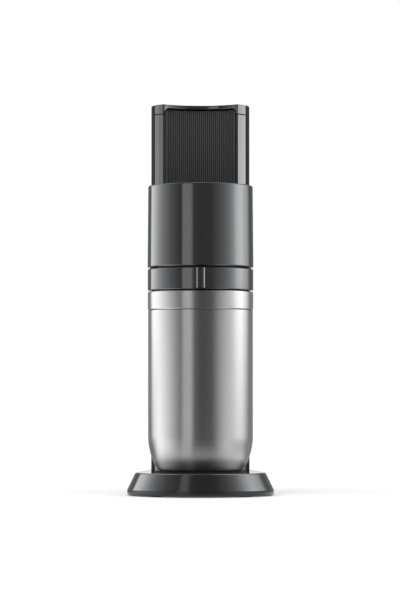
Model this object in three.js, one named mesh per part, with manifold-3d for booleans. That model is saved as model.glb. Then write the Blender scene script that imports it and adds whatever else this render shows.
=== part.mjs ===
// Sparkling water maker with a lift-up carbonating head, a steel bottle vessel and a gas column.
// Millimetres, +Z up, front towards -Y. The origin is the middle of the footprint, on the counter.
import * as THREE from "three";
import { mergeVertices } from "three/addons/utils/BufferGeometryUtils.js";
import Module from "manifold-3d";

const wasm = await Module();
wasm.setup();

// Overall sizes
const HEIGHT = 443;
const BASE_TOP_Z = 25.5;
const VESSEL_R = 58.6;
const VESSEL_STEEL_TOP_Z = 206; // where the brushed side stops, under the collar
const TANK_R = 30; // standard gas cylinder
const LEVER_PRESS_DEG = 3;

// Clearances
const SEAT = 0.3; // gap between pieces that rest on or in each other
const PIN_GAP = 0.2; // radial gap round a turning pin
const SLIDE_GAP = 0.4; // gap between the head and the column it slides on
const OVERRUN = 1; // how far a cutting tool runs past the face it opens

// Places from front to back, measured from the bottle axis. The whole model is moved back at the end.
const VESSEL_GAP = 2.9; // between the vessel and the column's hollow front
const COLUMN_INSET = 2.6; // the column is this much narrower than the vessel, each side
const COLUMN_HALF_WIDTH = VESSEL_R - COLUMN_INSET;
const CRADLE_R = VESSEL_R + VESSEL_GAP;
const PANEL_SETBACK = 4.5;
const RIB_HEIGHT = 0.8;
const PANEL_R = CRADLE_R + PANEL_SETBACK + RIB_HEIGHT; // foot of the ribs
const PANEL_WALL = 2;
const BRIDGE_GAP = 3.2;
const BRIDGE_DEPTH = 12;
const BRIDGE_Y0 = PANEL_R + PANEL_WALL + BRIDGE_GAP;
const BRIDGE_Y1 = BRIDGE_Y0 + BRIDGE_DEPTH;
const ROD_Y = (BRIDGE_Y0 + BRIDGE_Y1) / 2;
const WEB_GAP = 4;
const WEB_Y0 = BRIDGE_Y1 + WEB_GAP;
const SHEET = 2.5; // pressed steel of the chassis
const TANK_GAP = 5.5;
const GAS_Y = WEB_Y0 + SHEET + TANK_GAP + TANK_R;
const FRONT_MARGIN = 23.4; // of the base round the vessel
const REAR_MARGIN = 12; // of the base round the column
const BASE_FRONT_R = VESSEL_R + FRONT_MARGIN; // about the bottle axis
const BASE_REAR_R = COLUMN_HALF_WIDTH + REAR_MARGIN; // about the gas axis
const BASE_DEPTH = BASE_FRONT_R + GAS_Y + BASE_REAR_R;
const BOTTLE_Y = BASE_FRONT_R - BASE_DEPTH / 2;

// Facets of a full circle
const FINE = 36;
const MEDIUM = 20;
const SMALL = 10;
const THIN = 5; // sides of a thin wire or tube

const finishes = {
  gloss: new THREE.MeshStandardMaterial({ color: 0x2b2b2d, roughness: 0.16, metalness: 0 }),
  satin: new THREE.MeshStandardMaterial({ color: 0x2e2e30, roughness: 0.45, metalness: 0 }),
  matt: new THREE.MeshStandardMaterial({ color: 0x242426, roughness: 0.6, metalness: 0 }),
  brushed: new THREE.MeshStandardMaterial({ color: 0xb9b9ba, roughness: 0.3, metalness: 1 }),
  plate: new THREE.MeshStandardMaterial({ color: 0x9fa1a4, roughness: 0.4, metalness: 1 }),
  brass: new THREE.MeshStandardMaterial({ color: 0xb08d4f, roughness: 0.3, metalness: 1 }),
  rubber: new THREE.MeshStandardMaterial({ color: 0x1c1c1d, roughness: 0.85, metalness: 0 }),
  tank: new THREE.MeshStandardMaterial({ color: 0x8e979f, roughness: 0.35, metalness: 0.3 }),
  grip: new THREE.MeshStandardMaterial({ color: 0xc2577e, roughness: 0.4, metalness: 0 }),
  liner: new THREE.MeshStandardMaterial({ color: 0xd8d9da, roughness: 0.5, metalness: 0 }),
};

const machine = new THREE.Group();
const atBottle = new THREE.Group();
atBottle.position.y = BOTTLE_Y;
machine.add(atBottle);

// Solids from three.js geometry, and back to a named mesh

function solid(geometry) {
  const bare = new THREE.BufferGeometry();
  const source = geometry.index ? geometry.toNonIndexed() : geometry;
  bare.setAttribute("position", source.getAttribute("position"));
  const merged = mergeVertices(bare, 1e-4);
  return new wasm.Manifold(
    new wasm.Mesh({
      numProp: 3,
      vertProperties: merged.attributes.position.array,
      triVerts: new Uint32Array(merged.index.array),
    }),
  );
}

function addPiece(name, shape, finish) {
  const made = shape.getMesh();
  const geometry = new THREE.BufferGeometry();
  geometry.setAttribute("position", new THREE.BufferAttribute(made.vertProperties, 3));
  geometry.setIndex(new THREE.BufferAttribute(made.triVerts, 1));
  const mesh = new THREE.Mesh(geometry, finish);
  mesh.name = name;
  atBottle.add(mesh);
  return mesh;
}

// An outline in plan, [x, y] points, pulled up from z0 to z1.
function prism(points, z0, z1) {
  const shape = new THREE.Shape(points.map(([x, y]) => new THREE.Vector2(x, y)));
  const geometry = new THREE.ExtrudeGeometry(shape, { depth: z1 - z0, bevelEnabled: false });
  return solid(geometry.translate(0, 0, z0));
}

// A [radius, z] profile, anticlockwise, turned about a vertical axis.
function turned(profile, facets, x = 0, y = 0) {
  const points = [...profile, profile[0]].map(([r, z]) => new THREE.Vector2(r, z));
  const geometry = new THREE.LatheGeometry(points, facets);
  return solid(geometry.rotateX(Math.PI / 2).translate(x, y, 0));
}

function disc(r, z0, z1, facets, x = 0, y = 0) {
  return turned([[0, z0], [r, z0], [r, z1], [0, z1]], facets, x, y);
}

function ring(inner, outer, z0, z1, facets, x = 0, y = 0) {
  return turned([[inner, z0], [outer, z0], [outer, z1], [inner, z1]], facets, x, y);
}

function block(x0, x1, y0, y1, z0, z1) {
  const geometry = new THREE.BoxGeometry(x1 - x0, y1 - y0, z1 - z0);
  return solid(geometry.translate((x0 + x1) / 2, (y0 + y1) / 2, (z0 + z1) / 2));
}

// An outline in elevation, [x, z] points, pushed back from y0 to y1.
function upright(points, y0, y1) {
  const shape = new THREE.Shape(points.map(([x, z]) => new THREE.Vector2(x, z)));
  const geometry = new THREE.ExtrudeGeometry(shape, { depth: y1 - y0, bevelEnabled: false });
  return solid(geometry.rotateX(Math.PI / 2).translate(0, y1, 0));
}

// A round bar along X.
function crossBar(r, x0, x1, y, z, facets = SMALL) {
  const geometry = new THREE.CylinderGeometry(r, r, x1 - x0, facets);
  return solid(geometry.rotateZ(Math.PI / 2).translate((x0 + x1) / 2, y, z));
}

// A round bar along Y.
function lengthBar(r, x, y0, y1, z, facets = SMALL) {
  const geometry = new THREE.CylinderGeometry(r, r, y1 - y0, facets);
  return solid(geometry.translate(x, (y0 + y1) / 2, z));
}

// A round tube section swept along a curve.
function swept(curve, r, sides, steps) {
  const section = new THREE.Shape();
  for (let i = 0; i < sides; i += 1) {
    const angle = (i / sides) * 2 * Math.PI;
    const at = [r * Math.cos(angle), r * Math.sin(angle)];
    if (i === 0) section.moveTo(...at);
    else section.lineTo(...at);
  }
  return solid(new THREE.ExtrudeGeometry(section, { extrudePath: curve, steps }));
}

// Rings of [x, y] points, each at its own z, skinned and capped. The outlines are star-shaped.
function loft(levels) {
  const count = levels[0].points.length;
  const positions = [];
  const push = (a, b, c) => positions.push(...a, ...b, ...c);
  const at = (level, i) => [...levels[level].points[i % count], levels[level].z];
  for (let level = 0; level + 1 < levels.length; level += 1) {
    for (let i = 0; i < count; i += 1) {
      push(at(level, i), at(level, i + 1), at(level + 1, i + 1));
      push(at(level, i), at(level + 1, i + 1), at(level + 1, i));
    }
  }
  const last = levels.length - 1;
  const capFaces = (level, up) => {
    const contour = levels[level].points.map(([x, y]) => new THREE.Vector2(x, y));
    for (const [a, b, c] of THREE.ShapeUtils.triangulateShape(contour, [])) {
      if (up) push(at(level, a), at(level, b), at(level, c));
      else push(at(level, a), at(level, c), at(level, b));
    }
  };
  capFaces(0, false);
  capFaces(last, true);
  const geometry = new THREE.BufferGeometry();
  geometry.setAttribute("position", new THREE.Float32BufferAttribute(positions, 3));
  return solid(geometry);
}

function arcPoints(cx, cy, rx, ry, from, to, steps) {
  const points = [];
  for (let i = 0; i <= steps; i += 1) {
    const angle = from + ((to - from) * i) / steps;
    points.push([cx + rx * Math.cos(angle), cy + ry * Math.sin(angle)]);
  }
  return points;
}

const mirrored = (points) => points.map(([x, y]) => [-x, y]).reverse();
const both = (make) => [["left", -1], ["right", 1]].forEach(([side, sign]) => make(side, sign));
const spanX = (sign, a, b) => (sign > 0 ? [a, b] : [-b, -a]);

// Base: a tapered oval foot, hollow from below

const SKIRT_BOTTOM_Z = 1.2;
const SKIRT_TOP_Z = 6.8;
const BASE_WALL = 2.5;
const BASE_TOP_INSET = 8.6; // how far the sloping side comes in
const BASE_EDGE = 1; // small rounding of the base's edges
const BASE_SKIN = 7; // from the ceiling of the hollow to the top
const BASE_CEILING_Z = BASE_TOP_Z - BASE_SKIN;
const DRIP_FRONT_BORDER = 12.5;
const DRIP_REAR_BORDER = 24;
const DRIP_THICKNESS = 3.5;
const MAT_BORDER = 17.5;
const MAT_R = BASE_FRONT_R - DRIP_FRONT_BORDER - MAT_BORDER;
const MAT_PROUD = 0.4;
const MAT_THICKNESS = 1.6;
const OVAL_STEPS = 20;

// Hull of two circles, the front one about the bottle axis, the rear one about the gas axis.
function oval(frontR, rearR) {
  const lean = Math.asin((frontR - rearR) / GAS_Y);
  const front = arcPoints(0, 0, frontR, frontR, Math.PI - lean, 2 * Math.PI + lean, OVAL_STEPS);
  const rear = arcPoints(0, GAS_Y, rearR, rearR, lean, Math.PI - lean, OVAL_STEPS);
  return [...front, ...rear];
}

function baseOutline(inset) {
  return oval(BASE_FRONT_R - inset, BASE_REAR_R - inset);
}

const SCREW_R = 1.5;
const SCREW_HEAD_R = 3.2;
const SCREW_HEAD_HEIGHT = 1.2;
const BASE_BOSS_R = 5;
const PLATE_Z0 = 2.2;
const PLATE_THICKNESS = 2;
const PLATE_Z1 = PLATE_Z0 + PLATE_THICKNESS;
const BASE_SCREW_DEPTH = 8.8;
const FOOT_R = 9;
const FOOT_STEM_R = 3;

// Places in plan, as shares of the radius of that end of the base
const screwShares = { front: [0, -0.62], left: [-0.72, 0], right: [0.72, 0] };
const footShares = {
  front_left: [-0.58, -0.5],
  front_right: [0.58, -0.5],
  rear_left: [-0.58, 0.45],
  rear_right: [0.58, 0.45],
};

function basePlaces(kind, shares) {
  return Object.entries(shares).map(([place, [across, along]]) => {
    const r = place.startsWith("front") ? BASE_FRONT_R : BASE_REAR_R;
    const y = place.startsWith("front") ? 0 : GAS_Y;
    return [`${kind}_${place}`, r * across, y + r * along];
  });
}

function makeBase() {
  const screws = basePlaces("base_screw", screwShares);
  const feet = basePlaces("foot", footShares);
  let shell = loft([
    { z: SKIRT_BOTTOM_Z, points: baseOutline(BASE_EDGE) },
    { z: SKIRT_BOTTOM_Z + BASE_EDGE, points: baseOutline(0) },
    { z: SKIRT_TOP_Z, points: baseOutline(0) },
    { z: BASE_TOP_Z - BASE_EDGE, points: baseOutline(BASE_TOP_INSET) },
    { z: BASE_TOP_Z, points: baseOutline(BASE_TOP_INSET + BASE_EDGE) },
  ]);
  const hollow = loft([
    { z: SKIRT_BOTTOM_Z - OVERRUN, points: baseOutline(BASE_WALL) },
    { z: SKIRT_TOP_Z, points: baseOutline(BASE_WALL) },
    { z: BASE_CEILING_Z, points: baseOutline(BASE_WALL + BASE_TOP_INSET) },
  ]);
  const dripFrontR = BASE_FRONT_R - DRIP_FRONT_BORDER;
  const dripRearR = BASE_REAR_R - DRIP_REAR_BORDER;
  const dripBottom = BASE_TOP_Z - DRIP_THICKNESS;
  shell = shell.subtract(hollow);
  shell = shell.subtract(
    prism(oval(dripFrontR + SEAT, dripRearR + SEAT), dripBottom - SEAT, BASE_TOP_Z + OVERRUN),
  );
  let plate = prism(baseOutline(BASE_WALL + SEAT), PLATE_Z0, PLATE_Z1);
  const holeZ0 = PLATE_Z0 - OVERRUN;
  const holeZ1 = PLATE_Z1 + OVERRUN;
  for (const [name, x, y] of screws) {
    const bossZ0 = PLATE_Z1 + SEAT;
    const screwTop = PLATE_Z1 + BASE_SCREW_DEPTH;
    shell = shell
      .add(disc(BASE_BOSS_R, bossZ0, BASE_CEILING_Z + OVERRUN, SMALL, x, y))
      .subtract(disc(SCREW_R + SEAT, bossZ0 - OVERRUN, screwTop + SEAT, SMALL, x, y));
    plate = plate
      .subtract(disc(SCREW_R + SEAT, holeZ0, holeZ1, SMALL, x, y))
      .subtract(disc(SCREW_HEAD_R + SEAT, holeZ0, PLATE_Z0 + SCREW_HEAD_HEIGHT, SMALL, x, y));
    const headTop = PLATE_Z0 + SCREW_HEAD_HEIGHT - SEAT;
    const screw = disc(SCREW_HEAD_R, PLATE_Z0 - SEAT, headTop, SMALL, x, y)
      .add(disc(SCREW_R, PLATE_Z0, screwTop, SMALL, x, y));
    addPiece(name, screw, finishes.plate);
  }
  for (const [name, x, y] of feet) {
    plate = plate.subtract(disc(FOOT_STEM_R + SEAT, holeZ0, holeZ1, SMALL, x, y));
    const foot = disc(FOOT_R, 0, PLATE_Z0 - SEAT, MEDIUM / 2, x, y)
      .add(disc(FOOT_STEM_R, 0, PLATE_Z1, SMALL, x, y));
    addPiece(name, foot, finishes.rubber);
  }
  addPiece("base_shell", shell, finishes.gloss);
  addPiece("base_plate", plate, finishes.satin);

  const matTop = BASE_TOP_Z + MAT_PROUD;
  const matBottom = matTop - MAT_THICKNESS;
  const drip = prism(oval(dripFrontR, dripRearR), dripBottom, BASE_TOP_Z)
    .subtract(disc(MAT_R + SEAT, matBottom - SEAT, BASE_TOP_Z + OVERRUN, FINE));
  addPiece("drip_plate", drip, finishes.satin);
  addPiece("vessel_mat", disc(MAT_R, matBottom, matTop, FINE), finishes.rubber);
}

// Column: outer shells, concave front cover with two horns, ribbed panel

const COLUMN_Z0 = BASE_TOP_Z + SEAT;
const SHELL_WALL = 2.2;
const SHELL_INNER_X = COLUMN_HALF_WIDTH - SHELL_WALL;
const SLOT_WIDTH = 1.6; // slot each side of the front cover, for the head's arms
const HORN_HALF_WIDTH = SHELL_INNER_X - SLOT_WIDTH;
const HORN_ROUND_WIDTH = 9.2; // rounded nose of a horn, seen in plan
const HORN_ROUND_DEPTH = 10.4;
const HORN_LAND = 2; // flat between the nose and the hollow front
const WINDOW_HALF_WIDTH = HORN_HALF_WIDTH - HORN_ROUND_WIDTH - HORN_LAND;
const COVER_WALL = 1.5;
const CRADLE_EDGE_X = WINDOW_HALF_WIDTH + SEAT;
const HORN_TIP_Y = Math.sqrt(CRADLE_R ** 2 - CRADLE_EDGE_X ** 2);
const HORN_SIDE_Y = HORN_TIP_Y + HORN_ROUND_DEPTH;
const SHELL_SETBACK = 2;
const SHELL_FRONT_Y = HORN_SIDE_Y + SHELL_SETBACK;
const COVER_REAR_Y = CRADLE_R + PANEL_SETBACK;
const LEVER_SIDE_HEIGHT = 10.6; // from the top down to the seam under the legs
const SEAM = 0.9; // gap between the lever's legs and the horns
const HORN_TOP_Z = HEIGHT - LEVER_SIDE_HEIGHT - SEAM;
const RIM_THICKNESS = 4.4; // the lever's top plate, seen at its front edge
const LEVER_PLATE_Z = HEIGHT - RIM_THICKNESS;
const SHELL_SPLIT = 0.3; // half the gap between the two side shells
const REAR_SPLIT = 24;
const REAR_SPLIT_Y = GAS_Y + REAR_SPLIT; // where the side shells stop and the rear cover starts
const REAR_SILL = 3.2;
const REAR_HEADER = 43;
const REAR_OPEN_Z0 = COLUMN_Z0 + REAR_SILL;
const REAR_OPEN_Z1 = HEIGHT - REAR_HEADER;

// Heights of the ring and the head, up from the vessel's steel
const COLLAR_HEIGHT = 21;
const COLLAR_Z1 = VESSEL_STEEL_TOP_Z + COLLAR_HEIGHT;
const COLLAR_TO_RING = 1.5;
const RING_HEIGHT = 23.5;
const RING_Z0 = COLLAR_Z1 + COLLAR_TO_RING;
const RING_Z1 = RING_Z0 + RING_HEIGHT;
const RING_TO_HEAD = 1.7;
const HEAD_HEIGHT = 91.7;
const HEAD_Z0 = RING_Z1 + RING_TO_HEAD;
const HEAD_Z1 = HEAD_Z0 + HEAD_HEIGHT;

const PANEL_TUCK = 2.3; // how far above the head's foot the ribbed panel starts
const PANEL_Z0 = HEAD_Z0 + PANEL_TUCK;
const WINDOW_SILL = 3;
const WINDOW_Z0 = PANEL_Z0 + WINDOW_SILL;
const PANEL_TOP_GAP = 1.2;
const PANEL_Z1 = LEVER_PLATE_Z - PANEL_TOP_GAP;
const RIB_COUNT = 36;

function columnSkin(inset) {
  const x = COLUMN_HALF_WIDTH - inset;
  const rear = arcPoints(0, GAS_Y, x, x, 0, Math.PI, MEDIUM / 2);
  return [[x, SHELL_FRONT_Y], ...rear, [-x, SHELL_FRONT_Y]];
}

// The thin-walled round-backed skin of the column, open at the front.
function skinBetween(outer, inner, z0, z1) {
  const inside = columnSkin(inner);
  inside[0][1] -= OVERRUN;
  inside[inside.length - 1][1] -= OVERRUN;
  return prism(columnSkin(outer), z0, z1).subtract(prism(inside, z0 - OVERRUN, z1 + OVERRUN));
}

// The front cover's outline: side, round horn, then the hollow front, taken in by a wall.
function hornSide(inset) {
  const arc = CRADLE_R + inset;
  const edgeAngle = Math.acos(CRADLE_EDGE_X / arc);
  return [
    [HORN_HALF_WIDTH - inset, COVER_REAR_Y],
    ...arcPoints(
      HORN_HALF_WIDTH - HORN_ROUND_WIDTH, HORN_SIDE_Y,
      HORN_ROUND_WIDTH - inset, HORN_ROUND_DEPTH - inset,
      0, -Math.PI / 2, 6,
    ),
    ...arcPoints(0, 0, arc, arc, edgeAngle, Math.PI / 2, 10),
  ];
}

function hornOutline(inset) {
  const half = hornSide(inset);
  return [...half, ...mirrored(half.slice(0, -1))].reverse();
}

function makeColumn() {
  const skin = skinBetween(0, SHELL_WALL, COLUMN_Z0, HEIGHT);
  const reach = COLUMN_HALF_WIDTH + OVERRUN;
  const rearY = GAS_Y + COLUMN_HALF_WIDTH + OVERRUN;
  const rearCut = block(-reach, reach, REAR_SPLIT_Y, rearY, REAR_OPEN_Z0, REAR_OPEN_Z1);
  both((side, sign) => {
    const [x0, x1] = spanX(sign, SHELL_SPLIT, reach);
    const half = block(x0, x1, SHELL_FRONT_Y - OVERRUN, rearY, COLUMN_Z0, HEIGHT);
    addPiece(`side_shell_${side}`, skin.intersect(half).subtract(rearCut), finishes.gloss);
  });

  let cover = prism(hornOutline(0), COLUMN_Z0, HORN_TOP_Z);
  const inside = hornOutline(COVER_WALL);
  const innerRear = inside.map(([x, y]) => (y === COVER_REAR_Y ? [x, y + OVERRUN] : [x, y]));
  cover = cover.subtract(prism(innerRear, COLUMN_Z0 - OVERRUN, HORN_TOP_Z + OVERRUN));
  cover = cover.subtract(
    block(
      -WINDOW_HALF_WIDTH, WINDOW_HALF_WIDTH, HORN_TIP_Y - OVERRUN, COVER_REAR_Y + OVERRUN,
      WINDOW_Z0, HORN_TOP_Z + OVERRUN,
    ),
  );
  // walls that return from the horns to the ribbed panel
  both((side, sign) => {
    const [x0, x1] = spanX(sign, WINDOW_HALF_WIDTH, WINDOW_HALF_WIDTH + COVER_WALL);
    cover = cover.add(
      block(x0, x1, HORN_TIP_Y + COVER_WALL, COVER_REAR_Y, WINDOW_Z0 - OVERRUN, HORN_TOP_Z),
    );
  });
  return cover;
}

function makeRibbedPanel() {
  const half = Math.asin((WINDOW_HALF_WIDTH - SEAT) / (PANEL_R + PANEL_WALL));
  const front = [];
  for (let i = 0; i <= 2 * RIB_COUNT; i += 1) {
    const angle = Math.PI / 2 + half - (i / RIB_COUNT) * half;
    const r = i % 2 ? PANEL_R - RIB_HEIGHT : PANEL_R;
    front.push([r * Math.cos(angle), r * Math.sin(angle)]);
  }
  const back = PANEL_R + PANEL_WALL;
  const rear = arcPoints(0, 0, back, back, Math.PI / 2 - half, Math.PI / 2 + half, 16);
  addPiece("ribbed_panel", prism([...front, ...rear], PANEL_Z0, PANEL_Z1), finishes.matt);
}

// Rear cover: the round back, which pulls off for the gas cylinder

const CLIP_WIDTH = 12;
const CLIP_LENGTH = 10;
const CLIP_WALL = 1.6;
const SCOOP_R = 9;

function makeRearCover() {
  const reach = COLUMN_HALF_WIDTH + OVERRUN;
  const rearY = GAS_Y + COLUMN_HALF_WIDTH;
  const z0 = REAR_OPEN_Z0 + SEAT;
  const z1 = REAR_OPEN_Z1 - SEAT;
  let cover = skinBetween(0, SHELL_WALL, z0, z1)
    .intersect(block(-reach, reach, REAR_SPLIT_Y + SEAT, rearY + OVERRUN, z0, z1));
  // tongues that reach in behind the side shells
  const innerR = COLUMN_HALF_WIDTH - SHELL_WALL;
  const tongueX = Math.sqrt(innerR ** 2 - (REAR_SPLIT_Y - GAS_Y) ** 2) - SEAT;
  for (const z of [z0 + CLIP_LENGTH, z1 - CLIP_LENGTH - CLIP_WIDTH]) {
    both((side, sign) => {
      const [x0, x1] = spanX(sign, tongueX - 2 * CLIP_WALL, tongueX - CLIP_WALL / 2);
      const y1 = REAR_SPLIT_Y + 3 * CLIP_WALL;
      cover = cover.add(block(x0, x1, REAR_SPLIT_Y - CLIP_LENGTH, y1, z, z + CLIP_WIDTH));
    });
  }
  const scoop = lengthBar(SCOOP_R, 0, rearY - 2 * SHELL_WALL, rearY + OVERRUN, z1 + SCOOP_R / 3);
  addPiece("rear_cover", cover.subtract(scoop), finishes.gloss);
}

// Chassis: channel, guide rods, valve shelf

const ROD_R = 4;
const ROD_INSET = 14.2; // from the side of the front cover to the rod's axis
const ROD_X = HORN_HALF_WIDTH - ROD_INSET;
const WEB_DROP = 4.5;
const WEB_Z1 = HORN_TOP_Z - WEB_DROP;
const LUG_DROP = 5; // from the channel's top down to its upper lug
const LUG_HALF_WIDTH = 46;
const LUG_REACH = 8;
const ROD_Z1 = WEB_Z1 - OVERRUN;
const FLANGE_DEPTH = 24;
const FLANGE_X = SHELL_INNER_X - SEAT;
const PORT_HEIGHT = 38; // lightening windows in the web
const PORT_HALF_WIDTH = 13;
const portShares = [0.1, 0.3, 0.58, 0.78];

// Heights of the gas fittings, down from the lever
const BOSS_LENGTH = 28;
const PLUNGER_Z1 = LEVER_PLATE_Z - SEAT - BOSS_LENGTH - SEAT;
const PLUNGER_R = 4;
const FLANGE_R = 7;
const FLANGE_DROP = 7;
const FLANGE_Z0 = PLUNGER_Z1 - FLANGE_DROP;
const SPRING_LENGTH = 10.7;
const SHELF_Z0 = FLANGE_Z0 - SPRING_LENGTH;
const SHELF_HALF_WIDTH = 21;
const BRACKET_DROP = 24;
const BLOCK_Z1 = SHELF_Z0 - SEAT;
const BLOCK_HEIGHT = 36;
const BLOCK_Z0 = BLOCK_Z1 - BLOCK_HEIGHT;
const BLOCK_HALF_WIDTH = 20;
const BLOCK_FRONT = 22; // from the gas axis
const BLOCK_REAR = 16;
const BLOCK_SCREW_X = 15;
const BLOCK_SCREW_OFFSET = 12;
const BLOCK_SCREW_Y = GAS_Y - BLOCK_SCREW_OFFSET;
const BLOCK_SCREW_DEPTH = 9;
const PIPE_R = 2;
const PIPE_X = -28;
const HOSE_R = 2;
const HOSE_COIL_R = 6;
const HOSE_TURNS = 5;
const HOSE_HEIGHT = 67.5;
const HOSE_TOP_GAP = 2.5;
const ARM_DROP = 10.4; // from the head's top down to its side arms
const ARM_HEIGHT = 67;
const ARM_Z1 = HEAD_Z1 - ARM_DROP;
const ARM_Z0 = ARM_Z1 - ARM_HEIGHT;
const BRIDGE_DROP = 5;
const BRIDGE_HEIGHT = 55;
const BRIDGE_Z1 = ARM_Z1 - BRIDGE_DROP;
const BRIDGE_Z0 = BRIDGE_Z1 - BRIDGE_HEIGHT;
const HOSE_Z1 = BRIDGE_Z0 - HOSE_TOP_GAP;
const HOSE_Z0 = HOSE_Z1 - HOSE_HEIGHT;
const PIPE_DROP = 7;
const PIPE_HOLE_Z = HOSE_Z0 - PIPE_DROP;

function makeChassis() {
  const bottom = COLUMN_Z0;
  const innerX = FLANGE_X - SHEET;
  const flangeY = WEB_Y0 + FLANGE_DEPTH;
  const webCutY0 = WEB_Y0 - OVERRUN;
  const webCutY1 = WEB_Y0 + SHEET + OVERRUN;
  let channel = block(-FLANGE_X, FLANGE_X, WEB_Y0, flangeY, bottom, WEB_Z1).subtract(
    block(-innerX, innerX, WEB_Y0 + SHEET, flangeY + OVERRUN, bottom - OVERRUN, WEB_Z1 + OVERRUN),
  );
  // forward lugs that hold the guide rods top and bottom
  for (const z of [WEB_Z1 - LUG_DROP, bottom]) {
    const y0 = ROD_Y - LUG_REACH;
    channel = channel.add(
      block(-LUG_HALF_WIDTH, LUG_HALF_WIDTH, y0, WEB_Y0 + SHEET / 2, z, z + SHEET),
    );
  }
  both((side, sign) => {
    const x = sign * ROD_X;
    channel = channel.subtract(disc(ROD_R + PIN_GAP, bottom - OVERRUN, WEB_Z1, SMALL, x, ROD_Y));
    addPiece(`guide_rod_${side}`, disc(ROD_R, bottom, ROD_Z1, SMALL, x, ROD_Y), finishes.brushed);
  });
  channel = channel.subtract(lengthBar(2 * PIPE_R, PIPE_X, webCutY0, webCutY1, PIPE_HOLE_Z));
  for (const share of portShares) {
    const z = bottom + share * (WEB_Z1 - bottom);
    channel = channel.subtract(
      block(-PORT_HALF_WIDTH, PORT_HALF_WIDTH, webCutY0, webCutY1, z, z + PORT_HEIGHT),
    );
  }
  addPiece("chassis_channel", channel, finishes.plate);

  // shelf that carries the valve block
  const shelfZ1 = SHELF_Z0 + SHEET;
  const y0 = WEB_Y0 + SHEET + SEAT;
  const x = SHELF_HALF_WIDTH;
  let bracket = block(-x, x, y0, GAS_Y + BLOCK_REAR, SHELF_Z0, shelfZ1)
    .add(block(-x, x, y0, y0 + SHEET, SHELF_Z0 - BRACKET_DROP, shelfZ1))
    .subtract(
      disc(FLANGE_R + 2 * OVERRUN, SHELF_Z0 - OVERRUN, shelfZ1 + OVERRUN, SMALL, 0, GAS_Y),
    );
  both((side, sign) => {
    const at = [sign * BLOCK_SCREW_X, BLOCK_SCREW_Y];
    const headZ0 = shelfZ1 + SEAT;
    const headZ1 = headZ0 + SCREW_HEAD_HEIGHT;
    bracket = bracket.subtract(
      disc(SCREW_R + SEAT, SHELF_Z0 - OVERRUN, shelfZ1 + OVERRUN, SMALL, ...at),
    );
    const screw = disc(SCREW_HEAD_R, headZ0, headZ1, SMALL, ...at)
      .add(disc(SCREW_R, SHELF_Z0 - BLOCK_SCREW_DEPTH, headZ1, SMALL, ...at));
    addPiece(`block_screw_${side}`, screw, finishes.plate);
  });
  addPiece("valve_bracket", bracket, finishes.plate);
}

// Gas: cylinder, its valve, the valve block and the plunger

const TANK_LIFT = 4.2; // from the column's foot to the cylinder
const TANK_FOOT_R = 6;
const TANK_WALL = 3.2;
const TANK_NECK_R = 15;
const TANK_NECK_HEIGHT = 12;
const TANK_SHOULDER_HEIGHT = 30;
const TANK_BORE_R = 9;
const CUP_WALL = 3;
const CUP_HEIGHT = 14;
const HEX_R = 14;
const HEX_SIDES = 6;
const HEX_HEIGHT = 13;
const HEX_GAP = 3; // between the hexagon and the block above
const STEM_R = 10.5;
const STEM_SUNK = 14; // how far the valve stem reaches into the block
const PLUG_DEPTH = 16; // the valve's thread in the cylinder's neck
const HEX_Z1 = BLOCK_Z0 - HEX_GAP;
const TANK_Z1 = HEX_Z1 - HEX_HEIGHT;
const TANK_Z0 = COLUMN_Z0 + TANK_LIFT;
const VALVE_Z1 = BLOCK_Z0 + STEM_SUNK;
const VALVE_PIN_R = 1.6;
const VALVE_BORE_DEPTH = 12;
const VALVE_PIN_PROUD = 4.5;
const GASKET_THICKNESS = 2;
const GASKET_R = 8;
const GASKET_HOLE_R = 6.2;
const CHAMBER_R = 5.5;
const CHAMBER_HEIGHT = 10;
const SPRING_R = 6;
const SPRING_WIRE_R = 0.6;
const SPRING_TURNS = 3;
const CLAMP_HEIGHT = 16; // of the pivot above the block's foot
const CLAMP_OFFSET = 14; // of the pivot in front of the gas axis
const CLAMP_PIVOT_Y = GAS_Y - CLAMP_OFFSET;
const CLAMP_PIVOT_Z = BLOCK_Z0 + CLAMP_HEIGHT;
const CLAMP_PIN_R = 2.5;
const CLAMP_PIN_SUNK = 5;
const HINGE_SETBACK = 1;
const HINGE_Y = HORN_SIDE_Y + HINGE_SETBACK;
const PLUNGER_ARM = GAS_Y - HINGE_Y;
const PLUNGER_STROKE = PLUNGER_ARM * Math.sin(THREE.MathUtils.degToRad(LEVER_PRESS_DEG));

class Helix extends THREE.Curve {
  constructor(r, z0, z1, turns, x, y) {
    super();
    Object.assign(this, { r, z0, z1, turns, x, y });
  }

  getPoint(t, target = new THREE.Vector3()) {
    const angle = 2 * Math.PI * this.turns * t;
    return target.set(
      this.x + this.r * Math.cos(angle),
      this.y + this.r * Math.sin(angle),
      this.z0 + (this.z1 - this.z0) * t,
    );
  }
}

// Outline of half the gas cylinder from foot to neck, taken in by a wall.
function tankOutline(inset) {
  const r = TANK_R - inset;
  const z0 = TANK_Z0 + inset;
  const foot = Math.max(TANK_FOOT_R - inset, OVERRUN);
  const neck = inset > 0 ? TANK_BORE_R : TANK_NECK_R;
  const shoulderTop = TANK_Z1 - TANK_NECK_HEIGHT - inset;
  const shoulderFoot = shoulderTop - TANK_SHOULDER_HEIGHT;
  return [
    [0, z0],
    ...arcPoints(r - foot, z0 + foot, foot, foot, -Math.PI / 2, 0, 3),
    ...arcPoints(neck, shoulderFoot, r - neck, TANK_SHOULDER_HEIGHT, 0, Math.PI / 2, 5),
    [neck, TANK_Z1],
  ];
}

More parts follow.
